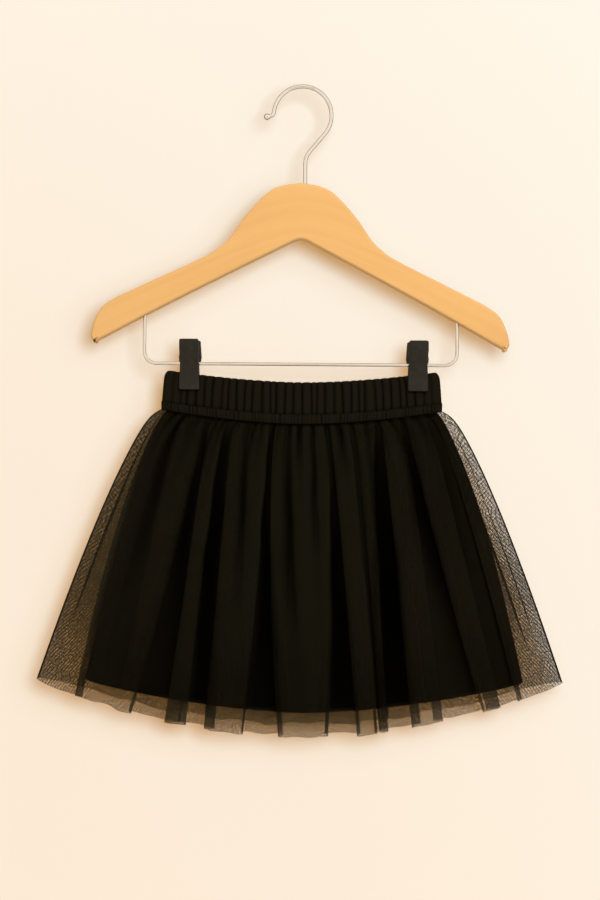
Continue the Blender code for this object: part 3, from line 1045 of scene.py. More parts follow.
@dataclass
class Waist:
    """Sizes that the waistband, the channel and the skirt share."""

    centre_x: float = 1.2
    half: float = 115.0
    sag_power: float = 1.7
    top_z: float = -245.2
    band_height: float = 26.2
    band_sag: float = 10.0
    channel_height: float = 8.4
    channel_top_sag: float = 10.2
    seam_sag: float = 11.2
    gap: float = 0.3
    seam_gap: float = 0.15

    @property
    def skirt_z(self) -> float:
        """Height of the skirt's waist seam in the middle."""
        return self.top_z - self.band_height - self.channel_height - 2 * self.gap

    def sag(self, x: np.ndarray | float, amount: float) -> np.ndarray | float:
        """Height of a waist line above its lowest point, at x from the skirt's middle."""
        return amount * np.abs(x / self.half) ** self.sag_power


def knit_strip(
    name: str, node: str, rings: np.ndarray, threads: np.ndarray, lit: np.ndarray, knit: bpy.types.Material
) -> bpy.types.Object:
    """Close a strip of rib knit into its shell and dress it.

    Args:
        name: the piece's name.
        node: the CAD node that it replaces.
        rings: rings by points by x, y, z in millimetres.
        threads: rings by points by u, v in metres.
        lit: painted shade, how much of its tone the knit shows at each point.
        knit: its material.

    Returns:
        The strip.
    """
    piece = swept_shell(name, rings, threads)
    add_mark(piece.data, "lit", lit.ravel())
    dress(piece, knit, node)
    return piece


@dataclass
class Waistband:
    """Ribbed elastic waistband, bowed between the clips and flat under them."""

    waist: Waist
    wall: float = 2.2
    ribs: int = 34
    rib_power: float = 3.2  # how flat a rib's crest is
    crest: float = 0.5
    groove: float = 1.0
    scallop: float = 0.5
    bow: float = 4.85
    bow_power: float = 1.5
    pinch_half: float = 90.0
    top_half: float = 111.4
    corner: float = 3.2
    corner_drop: float = 2.4
    slope: float = 1.9
    end_round: float = 3.2
    slant: float = 1.3
    overlap: float = 0.7
    stretch: float = 1.25  # width of the relaxed knit over the width it is pulled to
    groove_shade: float = 0.74
    seam_shade: float = 0.40
    rib_columns: int = 14
    face_steps: int = 12
    rim_steps: int = 8
    inner_steps: int = 5
    flat: tuple = (0.256, 0.027)

    def build(self, side: Side, knit: bpy.types.Material, clips: Sequence[str]) -> bpy.types.Object:
        """Build one half of the waistband.

        Args:
            side: front or back.
            knit: its material.
            clips: names of the jaws that hold it; not used.

        Returns:
            The half.
        """
        shares, profile = self._ribs(0.6 if side is Side.FRONT else 2.1)
        weight = 0.80 + 0.20 * uneven(shares * 40.0, 1.7)
        fade = 1.0 - 0.55 * smooth_step(np.abs(shares), 0.80, 0.97)
        rise = weight * fade * (profile * (self.crest + self.groove) - self.groove)
        hollow = np.clip(1.0 - profile, 0.0, 1.0) ** 0.8 * fade * (0.75 + 0.25 * weight)
        height, gap = self.waist.band_height, self.waist.seam_gap
        drops, offsets = self._section()
        rings = np.empty((len(shares), len(drops), 3))
        threads = np.empty((len(shares), len(drops), 2))
        lit = np.empty((len(shares), len(drops)))
        for row, (drop, inwards) in enumerate(zip(drops, offsets)):
            depth = max(drop, 0.0)
            half = self.top_half + self.corner * (1.0 - math.exp(-depth / self.corner_drop))
            half += self.slope * depth / height
            x = shares * half + self.slant * uneven(shares * 25.0, 0.9) * (1.0 - shares**2) * depth / height
            bow = self.bow * np.maximum(0.0, 1.0 - (x / self.pinch_half) ** 2) ** self.bow_power
            outer = gap + self.wall + gap + bow + rise * (0.55 + 0.45 * smooth_step(depth, 0.0, 3.0))
            inner = gap + bow * 0.98
            end = np.clip((np.abs(x) - (half - self.end_round)) / self.end_round, 0.0, 1.0)
            away = inner + (outer - inwards - inner) * np.sqrt(np.maximum(1.0 - end**2, 0.0004))
            z = self.waist.top_z - drop + self.waist.sag(x, self.waist.band_sag)
            z = z + self.scallop * (profile - 0.6) * fade * (1.0 - smooth_step(depth, 0.0, 5.0))
            rings[:, row] = np.stack([self.waist.centre_x + x, side.value * away, z], axis=1)
            threads[:, row] = np.stack([x * self.stretch, np.full_like(x, drop - inwards)], axis=1) * MM
            # painted shade: darker in the ribs' grooves and along the seam at the band's foot
            seam = smooth_step(depth, height - 2.4, height + 0.2)
            lit[:, row] = (1.0 - self.groove_shade * hollow) * (1.0 - self.seam_shade * seam)
        piece = knit_strip(f"waistband_{side.word}_knit", f"waistband_{side.word}", rings, threads, lit, knit)
        down = measured(rings[len(rings) // 2, : self.face_steps + 1])[-1]
        declare_sheet(piece, measured(rings[:, self.face_steps // 2])[-1], down)
        return piece

    def _ribs(self, seed: float) -> tuple[np.ndarray, np.ndarray]:
        """Places across the band, from -1 to 1, and the ribs' height there, 0 in the grooves.

        Args:
            seed: a different number for other spacings.

        Returns:
            The places and the heights.
        """
        number = np.arange(self.ribs)
        pitch = 1.0 + 0.20 * np.sin(2.3 * number + seed) + 0.12 * np.sin(5.1 * number + 2.0 * seed)
        edges = np.concatenate([[0.0], np.cumsum(pitch)])
        edges = 2.0 * edges / edges[-1] - 1.0
        ribs = [np.linspace(*ends, self.rib_columns, endpoint=False) for ends in zip(edges, edges[1:])]
        shares = np.concatenate([*ribs, [1.0]])
        rib = np.clip(np.searchsorted(edges, shares, side="right") - 1, 0, self.ribs - 1)
        within = (shares - edges[rib]) / (edges[rib + 1] - edges[rib])
        return shares, 1.0 - np.abs(2.0 * within - 1.0) ** self.rib_power

    def _section(self) -> tuple[list[float], list[float]]:
        """The band's section: how far down and how far inwards each point lies."""
        height, rim = self.waist.band_height + self.overlap, self.wall / 2
        drops, offsets = [], []
        for step in range(self.face_steps + 1):
            share = step / self.face_steps
            drops.append(height * (1.0 - share) ** 1.35 + rim * share)
            offsets.append(0.5 * (1.0 - share) ** 4)
        for step in range(1, self.rim_steps + 1):
            turn = math.pi * step / self.rim_steps
            drops.append(rim - rim * math.sin(turn))
            offsets.append(rim - rim * math.cos(turn))
        for step in range(1, self.inner_steps + 1):
            drops.append(rim + (height - rim) * step / self.inner_steps)
            offsets.append(self.wall)
        return drops, offsets


@dataclass
class Channel:
    """Narrow gathered strip along the waist seam, padded by the seam inside it."""

    waist: Waist
    half: float = 117.0
    bow: float = 4.0
    wall: float = 3.4
    end_thinning: float = 0.6
    rounding: float = 1.5
    ruche_pitch: float = 2.9
    ruche_height: float = 0.55
    swell_power: float = 0.55
    stretch: float = 1.4  # width of the relaxed knit over the width it is gathered to
    edge_shade: float = 0.38
    groove_shade: float = 0.55
    steps: int = 620
    face_steps: int = 14
    inner_steps: int = 5
    flat: tuple = (0.262, 0.010)

    def build(self, side: Side, knit: bpy.types.Material) -> bpy.types.Object:
        """Build one half of the channel.

        Args:
            side: front or back.
            knit: its material.

        Returns:
            The half.
        """
        waist = self.waist
        share = np.linspace(-1.0, 1.0, self.steps + 1)
        x = share * self.half
        near = waist.seam_gap + self.bow * (1.0 - share**2)
        crest = near + self.wall - self.end_thinning * np.abs(share)
        top_z = waist.top_z - waist.band_height - waist.gap
        high = top_z + waist.sag(x, waist.channel_top_sag)
        low = top_z - waist.channel_height + waist.sag(x, waist.seam_sag)
        phase = 2.0 * math.pi * x / self.ruche_pitch + 3.4 * uneven(x * 0.16, 0.4 + side.value)
        strength = 0.55 + 0.45 * uneven(x * 0.35, 2.0)
        taper = np.sqrt(np.maximum(1.0 - smooth_step(np.abs(share), 0.975, 1.0) ** 2, 0.01))
        turns = [math.pi * step / self.face_steps for step in range(self.face_steps + 1)]
        lines = [(0.5 - 0.5 * math.cos(turn), math.sin(turn) ** self.swell_power, 1.0) for turn in turns]
        lines += [(1.0 - step / self.inner_steps, 0.0, 0.0) for step in range(1, self.inner_steps)]
        rings = np.empty((len(x), len(lines), 3))
        threads = np.empty((len(x), len(lines), 2))
        lit = np.empty((len(x), len(lines)))
        for row, (down, swell, ruched) in enumerate(lines):
            wave = np.sin(phase + 0.9 * uneven(x * 0.9, 3.0) * (down - 0.5))
            ripple = self.ruche_height * strength * wave * swell * ruched
            base = near + (crest - self.rounding - near) * ruched
            away = base + (self.rounding * swell + ripple) * ruched
            away = waist.seam_gap + (away - waist.seam_gap) * taper
            z = high + (low - high) * down
            rings[:, row] = np.stack([waist.centre_x + x, side.value * away, z], axis=1)
            along = np.full_like(x, down * waist.channel_height)
            threads[:, row] = np.stack([x * self.stretch, along], axis=1) * MM
            # painted shade: darker along both edges and in the ruching's grooves
            edge = smooth_step(abs(down - 0.5), 0.30, 0.50)
            groove = np.clip(0.25 - wave, 0.0, 1.0) * strength
            lit[:, row] = (1.0 - self.edge_shade * edge) * (1.0 - self.groove_shade * groove)
        piece = knit_strip(f"channel_{side.word}_ruching", f"channel_{side.word}", rings, threads, lit, knit)
        down = measured(rings[len(rings) // 2, : self.face_steps + 1])[-1]
        across = measured(rings[:, self.face_steps // 2])[-1]
        declare_sheet(piece, across, down)
        return piece


# ---------------------------------------------------------------------------
# Skirt


class Line(NamedTuple):
    """A line down a panel: its x at the waist, at mid height and at the hem."""

    waist: float
    middle: float
    hem: float


class Trough(NamedTuple):
    """A trough between two ridges of the net, with the cloth tucked under the ridges' edges."""

    left: Optional[Line]  # None where the trough starts at the side seam
    right: Optional[Line]
    tucks: tuple[float, float]
    depth: float  # share of the panel's own depth
    fades: float = 0.0  # level where it dies out, or 0 if it reaches the hem
    holds: float = 0.45  # share of that level that it reaches unweakened
    laps: float = 0.0  # how much denser the net is from the fold to the panel's middle


class Shade(NamedTuple):
    """A shaded band down a panel, where the folds close round the cloth."""

    left: Line  # where the tone is half way to its darkest
    right: Line
    dark: tuple[float, float, float, float, float]  # at SHADE_SHARES of the way down
    soft: tuple[float, float, float, float]  # runs of its left and right side at mid height, then at the hem


class Gather(NamedTuple):
    """A short slit between two gathers, right under the waist seam."""

    x: float
    reach: float
    dark: float


class Folds(NamedTuple):
    """All folds of one side of the skirt."""

    troughs: Sequence[Trough]
    shades: Sequence[Shade]
    gathers: Sequence[Gather]


def table(kind: type, *rows: tuple) -> tuple:
    """Named rows of a table whose first two columns are lines, each its three places or None."""
    return tuple(kind(*(place and Line(*place) for place in row[:2]), *row[2:]) for row in rows)


SHADE_SHARES = (0.14, 0.30, 0.52, 0.74, 1.0)
FRONT_TROUGHS = table(
    Trough,
    # left, right, tucks, depth, fades, holds, laps
    (None, (-113.6, -157.6, -205.3), (0.0, 1.7), 0.22, 0.82, 0.72, 1.0),
    ((-113.0, -153.5, -193.0), (-111.5, -149.5, -183.0), (0.0, 5.7), 0.24),
    ((-100.0, -131.0, -165.0), (-97.0, -121.0, -150.0), (0.0, 0.0), 0.30),
    ((-78.0, -98.5, -136.0), (-74.5, -88.0, -108.5), (3.0, 12.0), 0.40),
    ((-60.0, -75.6, -91.0), (-55.5, -64.0, -76.3), (7.0, 8.0), 0.42),
    ((-47.0, -50.5, -58.0), (-43.5, -45.5, -54.0), (0.0, 0.0), 0.25, 0.65),
    ((-25.0, -31.3, -44.6), (-20.5, -24.0, -16.0), (1.8, 4.0), 0.42),
    ((-10.5, -10.5, -5.0), (-6.5, -4.5, 3.0), (0.0, 0.0), 0.22, 0.75),
    ((7.5, 12.0, 14.0), (11.0, 16.5, 19.0), (0.0, 0.0), 0.20, 0.50),
    ((20.0, 26.5, 24.6), (23.0, 34.5, 48.0), (2.8, 3.2), 0.42),
    ((39.5, 51.5, 64.5), (44.0, 56.0, 67.5), (2.0, 0.0), 0.20),
    ((62.5, 64.0, 73.5), (66.5, 77.5, 92.5), (7.0, 8.0), 0.42),
    ((82.0, 99.0, 118.0), (85.5, 110.5, 151.0), (7.0, 2.5), 0.42),
    ((103.0, 130.2, 165.5), (108.0, 142.0, 180.0), (11.0, 4.2), 0.30),
    ((109.0, 153.0, 201.0), (112.0, 158.0, 207.0), (1.7, 0.0), 0.20, 0.90, 0.78, 1.5),
    ((116.5, 160.7, 209.0), None, (1.4, 0.0), 0.15, 0.32, 0.60),
)
FRONT_SHADES = table(
    Shade,
    # left, right, dark, soft
    ((-103.0, -135.0, -176.0), (-97.0, -123.0, -160.0), (0.50, 0.75, 0.58, 0.20, 0.0), (12, 5, 14, 12)),
    ((-79.5, -98.5, -138.0), (-75.0, -88.0, -108.5), (0.75, 0.88, 0.95, 0.66, 0.35), (6, 3, 26, 5)),
    ((-60.5, -75.8, -91.5), (-55.5, -64.3, -76.0), (0.80, 0.90, 1.00, 0.97, 0.80), (1.6, 4, 5, 13)),
    ((-47.5, -51.0, -58.0), (-43.5, -45.5, -54.0), (0.40, 0.85, 0.35, 0.0, 0.0), (5, 5, 6, 6)),
    ((-25.5, -31.3, -44.0), (-20.5, -23.6, -12.0), (0.85, 0.88, 0.98, 0.97, 0.60), (1.5, 5, 12, 16)),
    ((-10.5, -12.0, -5.0), (-6.5, -4.2, 8.0), (0.50, 0.85, 0.68, 0.28, 0.0), (7, 4, 10, 8)),
    ((7.5, 11.5, 14.0), (11.0, 16.5, 20.0), (0.55, 0.75, 0.15, 0.0, 0.0), (4, 4, 4, 4)),
    ((19.5, 26.3, 25.5), (22.5, 35.0, 48.5), (0.35, 0.65, 1.00, 1.00, 0.80), (1.5, 6, 8, 11)),
    ((40.0, 51.5, 66.5), (44.0, 57.0, 71.0), (0.50, 0.40, 0.30, 0.40, 0.30), (2, 3, 2, 3)),
    ((51.5, 60.5, 68.0), (55.5, 66.0, 74.0), (0.40, 0.55, 0.60, 0.20, 0.0), (3, 3, 3, 3)),
    ((62.0, 63.5, 73.0), (66.5, 78.3, 94.5), (0.80, 0.93, 1.00, 1.00, 0.80), (1.5, 4, 4, 10)),
    ((82.0, 98.5, 140.0), (85.5, 110.8, 150.0), (0.80, 0.95, 0.85, 0.50, 0.10), (7, 6, 16, 10)),
    ((102.5, 130.0, 170.0), (107.0, 138.0, 182.0), (0.50, 0.60, 0.50, 0.28, 0.12), (1.6, 12, 1.6, 16)),
)
FRONT_GATHERS = (
    Gather(-112.0, 18.0, 0.30),
    Gather(-92.5, 34.0, 0.65),
    Gather(-84.0, 14.0, 0.30),
    Gather(-65.5, 38.0, 0.50),
    Gather(-35.5, 24.0, 0.55),
    Gather(-15.5, 13.0, 0.30),
    Gather(-1.0, 28.0, 0.62),
    Gather(30.5, 28.0, 0.62),
    Gather(74.0, 15.0, 0.30),
    Gather(92.5, 18.0, 0.35),
    Gather(114.0, 28.0, 0.50),
)
BACK_TROUGHS = table(
    Trough,
    # left, right, tucks, depth, fades, holds, laps
    (None, (-113.0, -157.0, -203.0), (0.0, 0.0), 0.20, 0.90),
    ((-102.0, -137.0, -168.0), (-92.0, -124.0, -148.0), (0.0, 0.0), 0.30),
    ((-80.0, -99.0, -126.0), (-76.0, -89.0, -106.0), (0.0, 0.0), 0.38),
    ((-56.0, -62.0, -72.5), (-50.0, -54.0, -60.0), (6.0, 0.0), 0.38),
    ((-36.5, -40.0, -52.0), (-31.5, -34.0, -42.0), (0.0, 0.0), 0.22, 0.65),
    ((-19.0, -24.0, -30.0), (-11.0, -12.0, -12.0), (0.0, 0.0), 0.40),
    ((3.0, 2.0, 4.0), (8.5, 8.0, 12.0), (0.0, 0.0), 0.20, 0.60),
    ((24.0, 27.0, 26.0), (33.0, 41.0, 52.0), (0.0, 0.0), 0.38),
    ((47.5, 54.5, 64.0), (52.5, 60.0, 72.0), (0.0, 0.0), 0.25, 0.70),
    ((64.0, 71.0, 77.0), (76.0, 86.0, 99.0), (6.0, 0.0), 0.38),
    ((90.0, 116.0, 136.0), (97.0, 130.0, 157.0), (0.0, 0.0), 0.34),
    ((107.0, 147.0, 186.0), None, (0.0, 0.0), 0.20, 0.9),
)
BACK_SHADES = table(
    Shade,
    # left, right, dark, soft
    ((-102.0, -137.0, -168.0), (-94.0, -124.0, -148.0), (0.50, 0.75, 0.55, 0.30, 0.10), (3, 10, 4, 14)),
    ((-80.5, -99.0, -126.0), (-76.0, -89.0, -106.0), (0.80, 0.90, 0.95, 0.80, 0.50), (1.5, 5, 4, 14)),
    ((-55.5, -62.0, -72.5), (-50.0, -54.0, -60.0), (0.80, 0.90, 1.00, 0.95, 0.80), (1.5, 4, 4, 10)),
    ((-36.0, -40.0, -52.0), (-31.5, -34.0, -42.0), (0.50, 0.80, 0.30, 0.0, 0.0), (4, 4, 4, 4)),
    ((-17.0, -24.0, -30.0), (-12.0, -12.0, -12.0), (0.80, 0.90, 1.00, 0.90, 0.70), (1.5, 6, 5, 14)),
    ((4.0, 2.0, 4.0), (8.0, 8.0, 12.0), (0.50, 0.80, 0.50, 0.10, 0.0), (5, 5, 6, 6)),
    ((26.0, 27.0, 26.0), (31.0, 41.0, 52.0), (0.60, 0.90, 1.00, 0.95, 0.70), (6, 1.5, 14, 4)),
    ((47.5, 54.5, 64.0), (52.0, 60.0, 72.0), (0.50, 0.80, 0.50, 0.20, 0.0), (4, 4, 4, 4)),
    ((66.0, 71.0, 77.0), (72.0, 86.0, 99.0), (0.80, 0.90, 0.97, 0.85, 0.60), (1.5, 7, 4, 14)),
    ((91.0, 116.0, 136.0), (96.0, 130.0, 157.0), (0.60, 0.85, 0.70, 0.40, 0.20), (10, 3, 16, 4)),
)
BACK_GATHERS = (
    Gather(-109.0, 22.0, 0.40),
    Gather(-87.0, 32.0, 0.60),
    Gather(-66.0, 22.0, 0.50),
    Gather(-43.5, 34.0, 0.55),
    Gather(-25.0, 18.0, 0.45),
    Gather(-3.0, 29.0, 0.60),
    Gather(17.0, 24.0, 0.50),
    Gather(39.5, 33.0, 0.60),
    Gather(59.0, 19.0, 0.45),
    Gather(83.0, 35.0, 0.60),
    Gather(104.0, 24.0, 0.45),
)
FOLDS = {
    Side.FRONT: Folds(FRONT_TROUGHS, FRONT_SHADES, FRONT_GATHERS),
    Side.BACK: Folds(BACK_TROUGHS, BACK_SHADES, BACK_GATHERS),
}


CUTS = {  # the lining's and the net's width along the hem's folds, and fall, in metres
    Side.FRONT: ((0.459, 0.237), (0.776, 0.253)),
    Side.BACK: ((0.429, 0.236), (0.531, 0.253)),
}


class Panel(NamedTuple):
    """One layer of the skirt from its waist seam to its hem."""

    top_half: float
    shoulder: float  # how far the side springs out right under the waist seam
    hem_half: float
    spread: float  # power of the side's outward curve
    top_depth: float
    hem_depth: dict[Side, float]
    hem_z: float
    hem_rise: float  # how far the hem's side ends lie above its middle
    hem_power: float


NET = Panel(116.5, 5.0, 219.0, 0.78, 6.2, {Side.FRONT: 38.0, Side.BACK: 26.0}, -535.1, 42.0, 1.9)
LINING = Panel(112.0, 0.0, 182.5, 0.70, 4.0, {Side.FRONT: 33.0, Side.BACK: 21.5}, -514.5, 21.5, 1.6)
SEAM_SHARES = (0.985, 0.997, 1.0, 1.0, 1.0)  # the net's last points before its side seam
FAR_AWAY = 1000.0  # the edge of a trough that runs on to the side seam


@dataclass
class SkirtForm:
    """The hung shape that both layers of the skirt follow."""

    waist: Waist
    shoulder_level: float = 0.015
    depth_power: float = 0.85
    middle_share: float = 0.48
    top_depth_share: float = 0.30
    full_depth_level: float = 0.35
    tuck_level: float = 0.45
    fold_reach: float = 22.0
    # slit_width to wander set the painted shade in the gathers' slits and along the shaded bands
    slit_width: float = 1.25
    slit_gain: float = 1.70
    gather_shade: float = 0.88
    gather_fall: float = 20.0
    soft_gain: float = 1.5
    least_soft: float = 3.0
    wander: float = 1.9
    hem_wave: float = 1.3
    lining_shift: float = 3.5
    # left_closed and right_open darken the net on the left and pale it at the upper right as painted shade
    # and light; hem_closed closes the hem's middle
    left_closed: float = 0.25
    right_open: float = 1.0
    hem_closed: float = 1.15
    # the painted tone of a ridge, made paler towards the sides
    ridge_tone: float = 0.77
    side_tone: float = 0.12
    # a painted highlight beside a shade's crisp side
    edge_highlight: float = 0.16
    crisp_run: float = 1.6  # a shade's side that runs shorter has a paler edge beside it
    edge_off: float = 1.6
    waist_shade: float = 0.15  # share of a shade's first tone that it has at the seam
    nip_width: float = 1.9
    slit_opening: float = 40.0  # how far down a slit is twice as wide
    slit_power: float = 2.5
    closing: tuple = (-531.0, -520.0)  # heights over which the hem's middle goes from open to closed
    lining_reach: float = 0.94  # the net's level beside the lining's hem
    tuck_in: float = 1.0  # how far both layers run up behind the waist seam
    tuck_in_power: float = 60.0

    def half(self, panel: Panel, level: np.ndarray | float) -> np.ndarray | float:
        """Half width of a panel.

        Args:
            panel: the layer.
            level: share of the way down.

        Returns:
            The half width there.
        """
        shoulder = panel.shoulder * (1.0 - np.exp(-level / self.shoulder_level))
        flare = (panel.hem_half - panel.top_half - panel.shoulder) * level**panel.spread
        return panel.top_half + shoulder + flare

    def lining_middle(self, level: float) -> float:
        """How far right of the net's middle the lining hangs at a level."""
        return self.lining_shift * float(smooth_step(level, 0.0, 0.5))

    def depth(self, panel: Panel, side: Side, level: float) -> float:
        """How far a panel's middle bows out at a level."""
        return panel.top_depth + (panel.hem_depth[side] - panel.top_depth) * level**self.depth_power

    def height(self, panel: Panel, level: np.ndarray | float, share: np.ndarray) -> np.ndarray:
        """Height of points of a panel.

        Args:
            panel: the layer.
            level: share of the way down.
            share: x as a share of the half width.

        Returns:
            Their z.
        """
        top = self.waist.skirt_z + self.waist.sag(share * panel.top_half, self.waist.seam_sag)
        bottom = panel.hem_z + panel.hem_rise * np.abs(share) ** panel.hem_power
        return top + (bottom - top) * level

    def line_x(self, line: Line, level: float) -> float:
        """Where a line lies, on a curve through its three places.

        Args:
            line: the line down the panel.
            level: share of the way down.

        Returns:
            Its x from the skirt's middle.
        """
        share = level**NET.spread
        m = self.middle_share
        at_waist = line.waist * (share - m) * (share - 1.0) / m
        at_middle = line.middle * share * (share - 1.0) / (m * (m - 1.0))
        at_hem = line.hem * share * (share - m) / (1.0 - m)
        return at_waist + at_middle + at_hem - self.waist.centre_x

    def strength(self, trough: Trough, level: float) -> float:
        """How much of a trough is left.

        Args:
            trough: the trough.
            level: share of the way down.

        Returns:
            0 for none to 1 for all of it.
        """
        if not trough.fades:
            return 1.0
        return 1.0 - float(smooth_step(level, trough.holds * trough.fades, trough.fades))

    def trough_depth(self, trough: Trough, level: float) -> float:
        """Depth of a trough at a level, as a share of the panel's own depth."""
        grown = self.top_depth_share + (1.0 - self.top_depth_share) * min(1.0, level / self.full_depth_level)
        return trough.depth * grown * self.strength(trough, level)

    def tuck(self, size: float, trough: Trough, level: float) -> float:
        """How far the cloth runs back under a ridge's edge at a level."""
        return size * float(smooth_step(level, -0.02, self.tuck_level)) * self.strength(trough, level)

    def seam_rise(self, level: float) -> float:
        """How far a layer is drawn up behind the waist seam at a level."""
        return self.tuck_in * (1.0 - level) ** self.tuck_in_power

    def nip(self, folds: Folds, x: np.ndarray, drop: np.ndarray) -> np.ndarray:
        """How deep the gathers' slits are at places, from 0 to 1.

        Args:
            folds: the side's folds.
            x: places from the middle, as at the waist.
            drop: how far they lie below the seam.

        Returns:
            The depth at each place.
        """
        slits = [((s.left.waist + s.right.waist) / 2, self.fold_reach) for s in folds.shades]
        slits += [(gather.x, gather.reach) for gather in folds.gathers]
        found = np.zeros_like(x)
        for place, reach in slits:
            found = np.maximum(found, self._slit(place, reach, self.nip_width, x, drop))
        return found

    def _slit(self, place: float, reach: float, width: float, x: np.ndarray, drop: np.ndarray) -> np.ndarray:
        """One slit's depth at places: it tapers downwards and to its sides."""
        across = (x - place + self.waist.centre_x) / (width * (1.0 + drop / self.slit_opening))
        return np.exp(-(across**2)) * np.exp(-((np.maximum(drop, 0.0) / reach) ** self.slit_power))

    def lit(self, folds: Folds, x: np.ndarray, level: float, drop: np.ndarray) -> np.ndarray:
        """Painted shade and highlight: how much of its own tone the cloth shows where folds close round it.

        Args:
            folds: the side's folds.
            x: places from the middle.
            level: share of the way down.
            drop: how far they lie below the seam.

        Returns:
            0 for black to 1 for the full tone.
        """
        share = level**NET.spread
        shadow, edge = np.ones_like(x), np.zeros_like(x)
        for shade in folds.shades:
            drift = self.wander * float(uneven(share * 6.0, shade.left.waist * 0.37))
            left, right = (self.line_x(line, level) + drift for line in (shade.left, shade.right))
            softs = [max(soft * self.soft_gain, self.least_soft) for soft in shade.soft]
            ends = zip(softs[:2], softs[2:])
            stations = (0.0, self.middle_share, 1.0)
            runs = [float(np.interp(share, stations, (mid * 0.5, mid, hem))) / 2 for mid, hem in ends]
            inside = smooth_step(x, left - runs[0], left + runs[0])
            inside = inside * (1.0 - smooth_step(x, right - runs[1], right + runs[1]))
            tones = (self.waist_shade * shade.dark[0], *shade.dark)
            dark = float(np.interp(share, (0.0, *SHADE_SHARES), tones))
            shadow = shadow * (1.0 - dark * inside)
            for place, outward, run in ((left, -1.0, runs[0]), (right, 1.0, runs[1])):
                if run < self.crisp_run:
                    edge = edge + dark * np.exp(-(((x - place) * outward - self.edge_off) ** 2))
        waist_x = x * NET.top_half / self.half(NET, level)
        # painted shade in the gathers' slits and in the short gathers right under the seam
        for gather in folds.gathers:
            slit = self._slit(gather.x, gather.reach, self.slit_width, waist_x, drop)
            shadow = shadow * (1.0 - min(gather.dark * self.slit_gain, 0.9) * slit)
        gathers = np.clip(0.25 + 1.3 * uneven(waist_x * 0.62, 1.9), 0.0, 1.0)
        fall = self.gather_fall * (1.0 + 0.5 * uneven(waist_x * 0.31, 0.7))
        shadow = shadow * (1.0 - self.gather_shade * gathers * np.exp(-np.maximum(drop, 0.0) / fall))
        # the painted tone of the ridges, paler towards the sides, with painted highlights beside crisp edges
        tone = self.ridge_tone + self.side_tone * smooth_step(np.abs(x), 40.0, 130.0)
        tone = (tone + self.edge_highlight * np.minimum(edge, 1.0)) * shadow
        # painted shadow right under the waist seam
        return tone * (0.35 + 0.65 * smooth_step(drop, -0.5, 3.0))

    def dense(self, folds: Folds, x: np.ndarray, z: np.ndarray, level: float) -> np.ndarray:
        """How far the net is closed, below 0 where opened: by folds that lap under it, and by place.

        Args:
            folds: the side's folds.
            x: places from the middle.
            z: their heights.
            level: share of the way down.

        Returns:
            The closing at each place.
        """
        # painted shade and light: the closing on the left darkens the net and the opening at the upper right
        # pales it
        middle = (1.0 - smooth_step(np.abs(x), 20.0, 120.0)) * smooth_step(z, *self.closing)
        dense = self.left_closed * smooth_step(-x, 40.0, 120.0) + self.hem_closed * middle
        dense -= self.right_open * smooth_step(x, 60.0, 130.0) * (1.0 - smooth_step(level, 0.25, 0.65))
        for trough in folds.troughs:
            if not trough.laps:
                continue
            line, inward = (trough.right, 1.0) if trough.left is None else (trough.left, -1.0)
            past = (x - self.line_x(line, level)) * inward
            dense += 0.55 * trough.laps * self.strength(trough, level) * smooth_step(past, -0.5, 1.5)
        return dense

    def sheer(self, x: np.ndarray, z: np.ndarray, level: float) -> np.ndarray:
        """Where no lining lies behind the net.

        Args:
            x: places from the middle.
            z: their heights.
            level: share of the way down.

        Returns:
            0 where it is lined to 1 where it isn't.
        """
        lining_level = min(level / self.lining_reach, 1.0)
        off_middle = np.abs(x - self.lining_middle(lining_level))
        beside = smooth_step(off_middle - self.half(LINING, lining_level), -1.0, 3.0)
        hem = self.height(LINING, 1.0, np.clip(x / LINING.hem_half, -1.0, 1.0))
        return np.maximum(beside, smooth_step(hem - z, -1.0, 3.0))


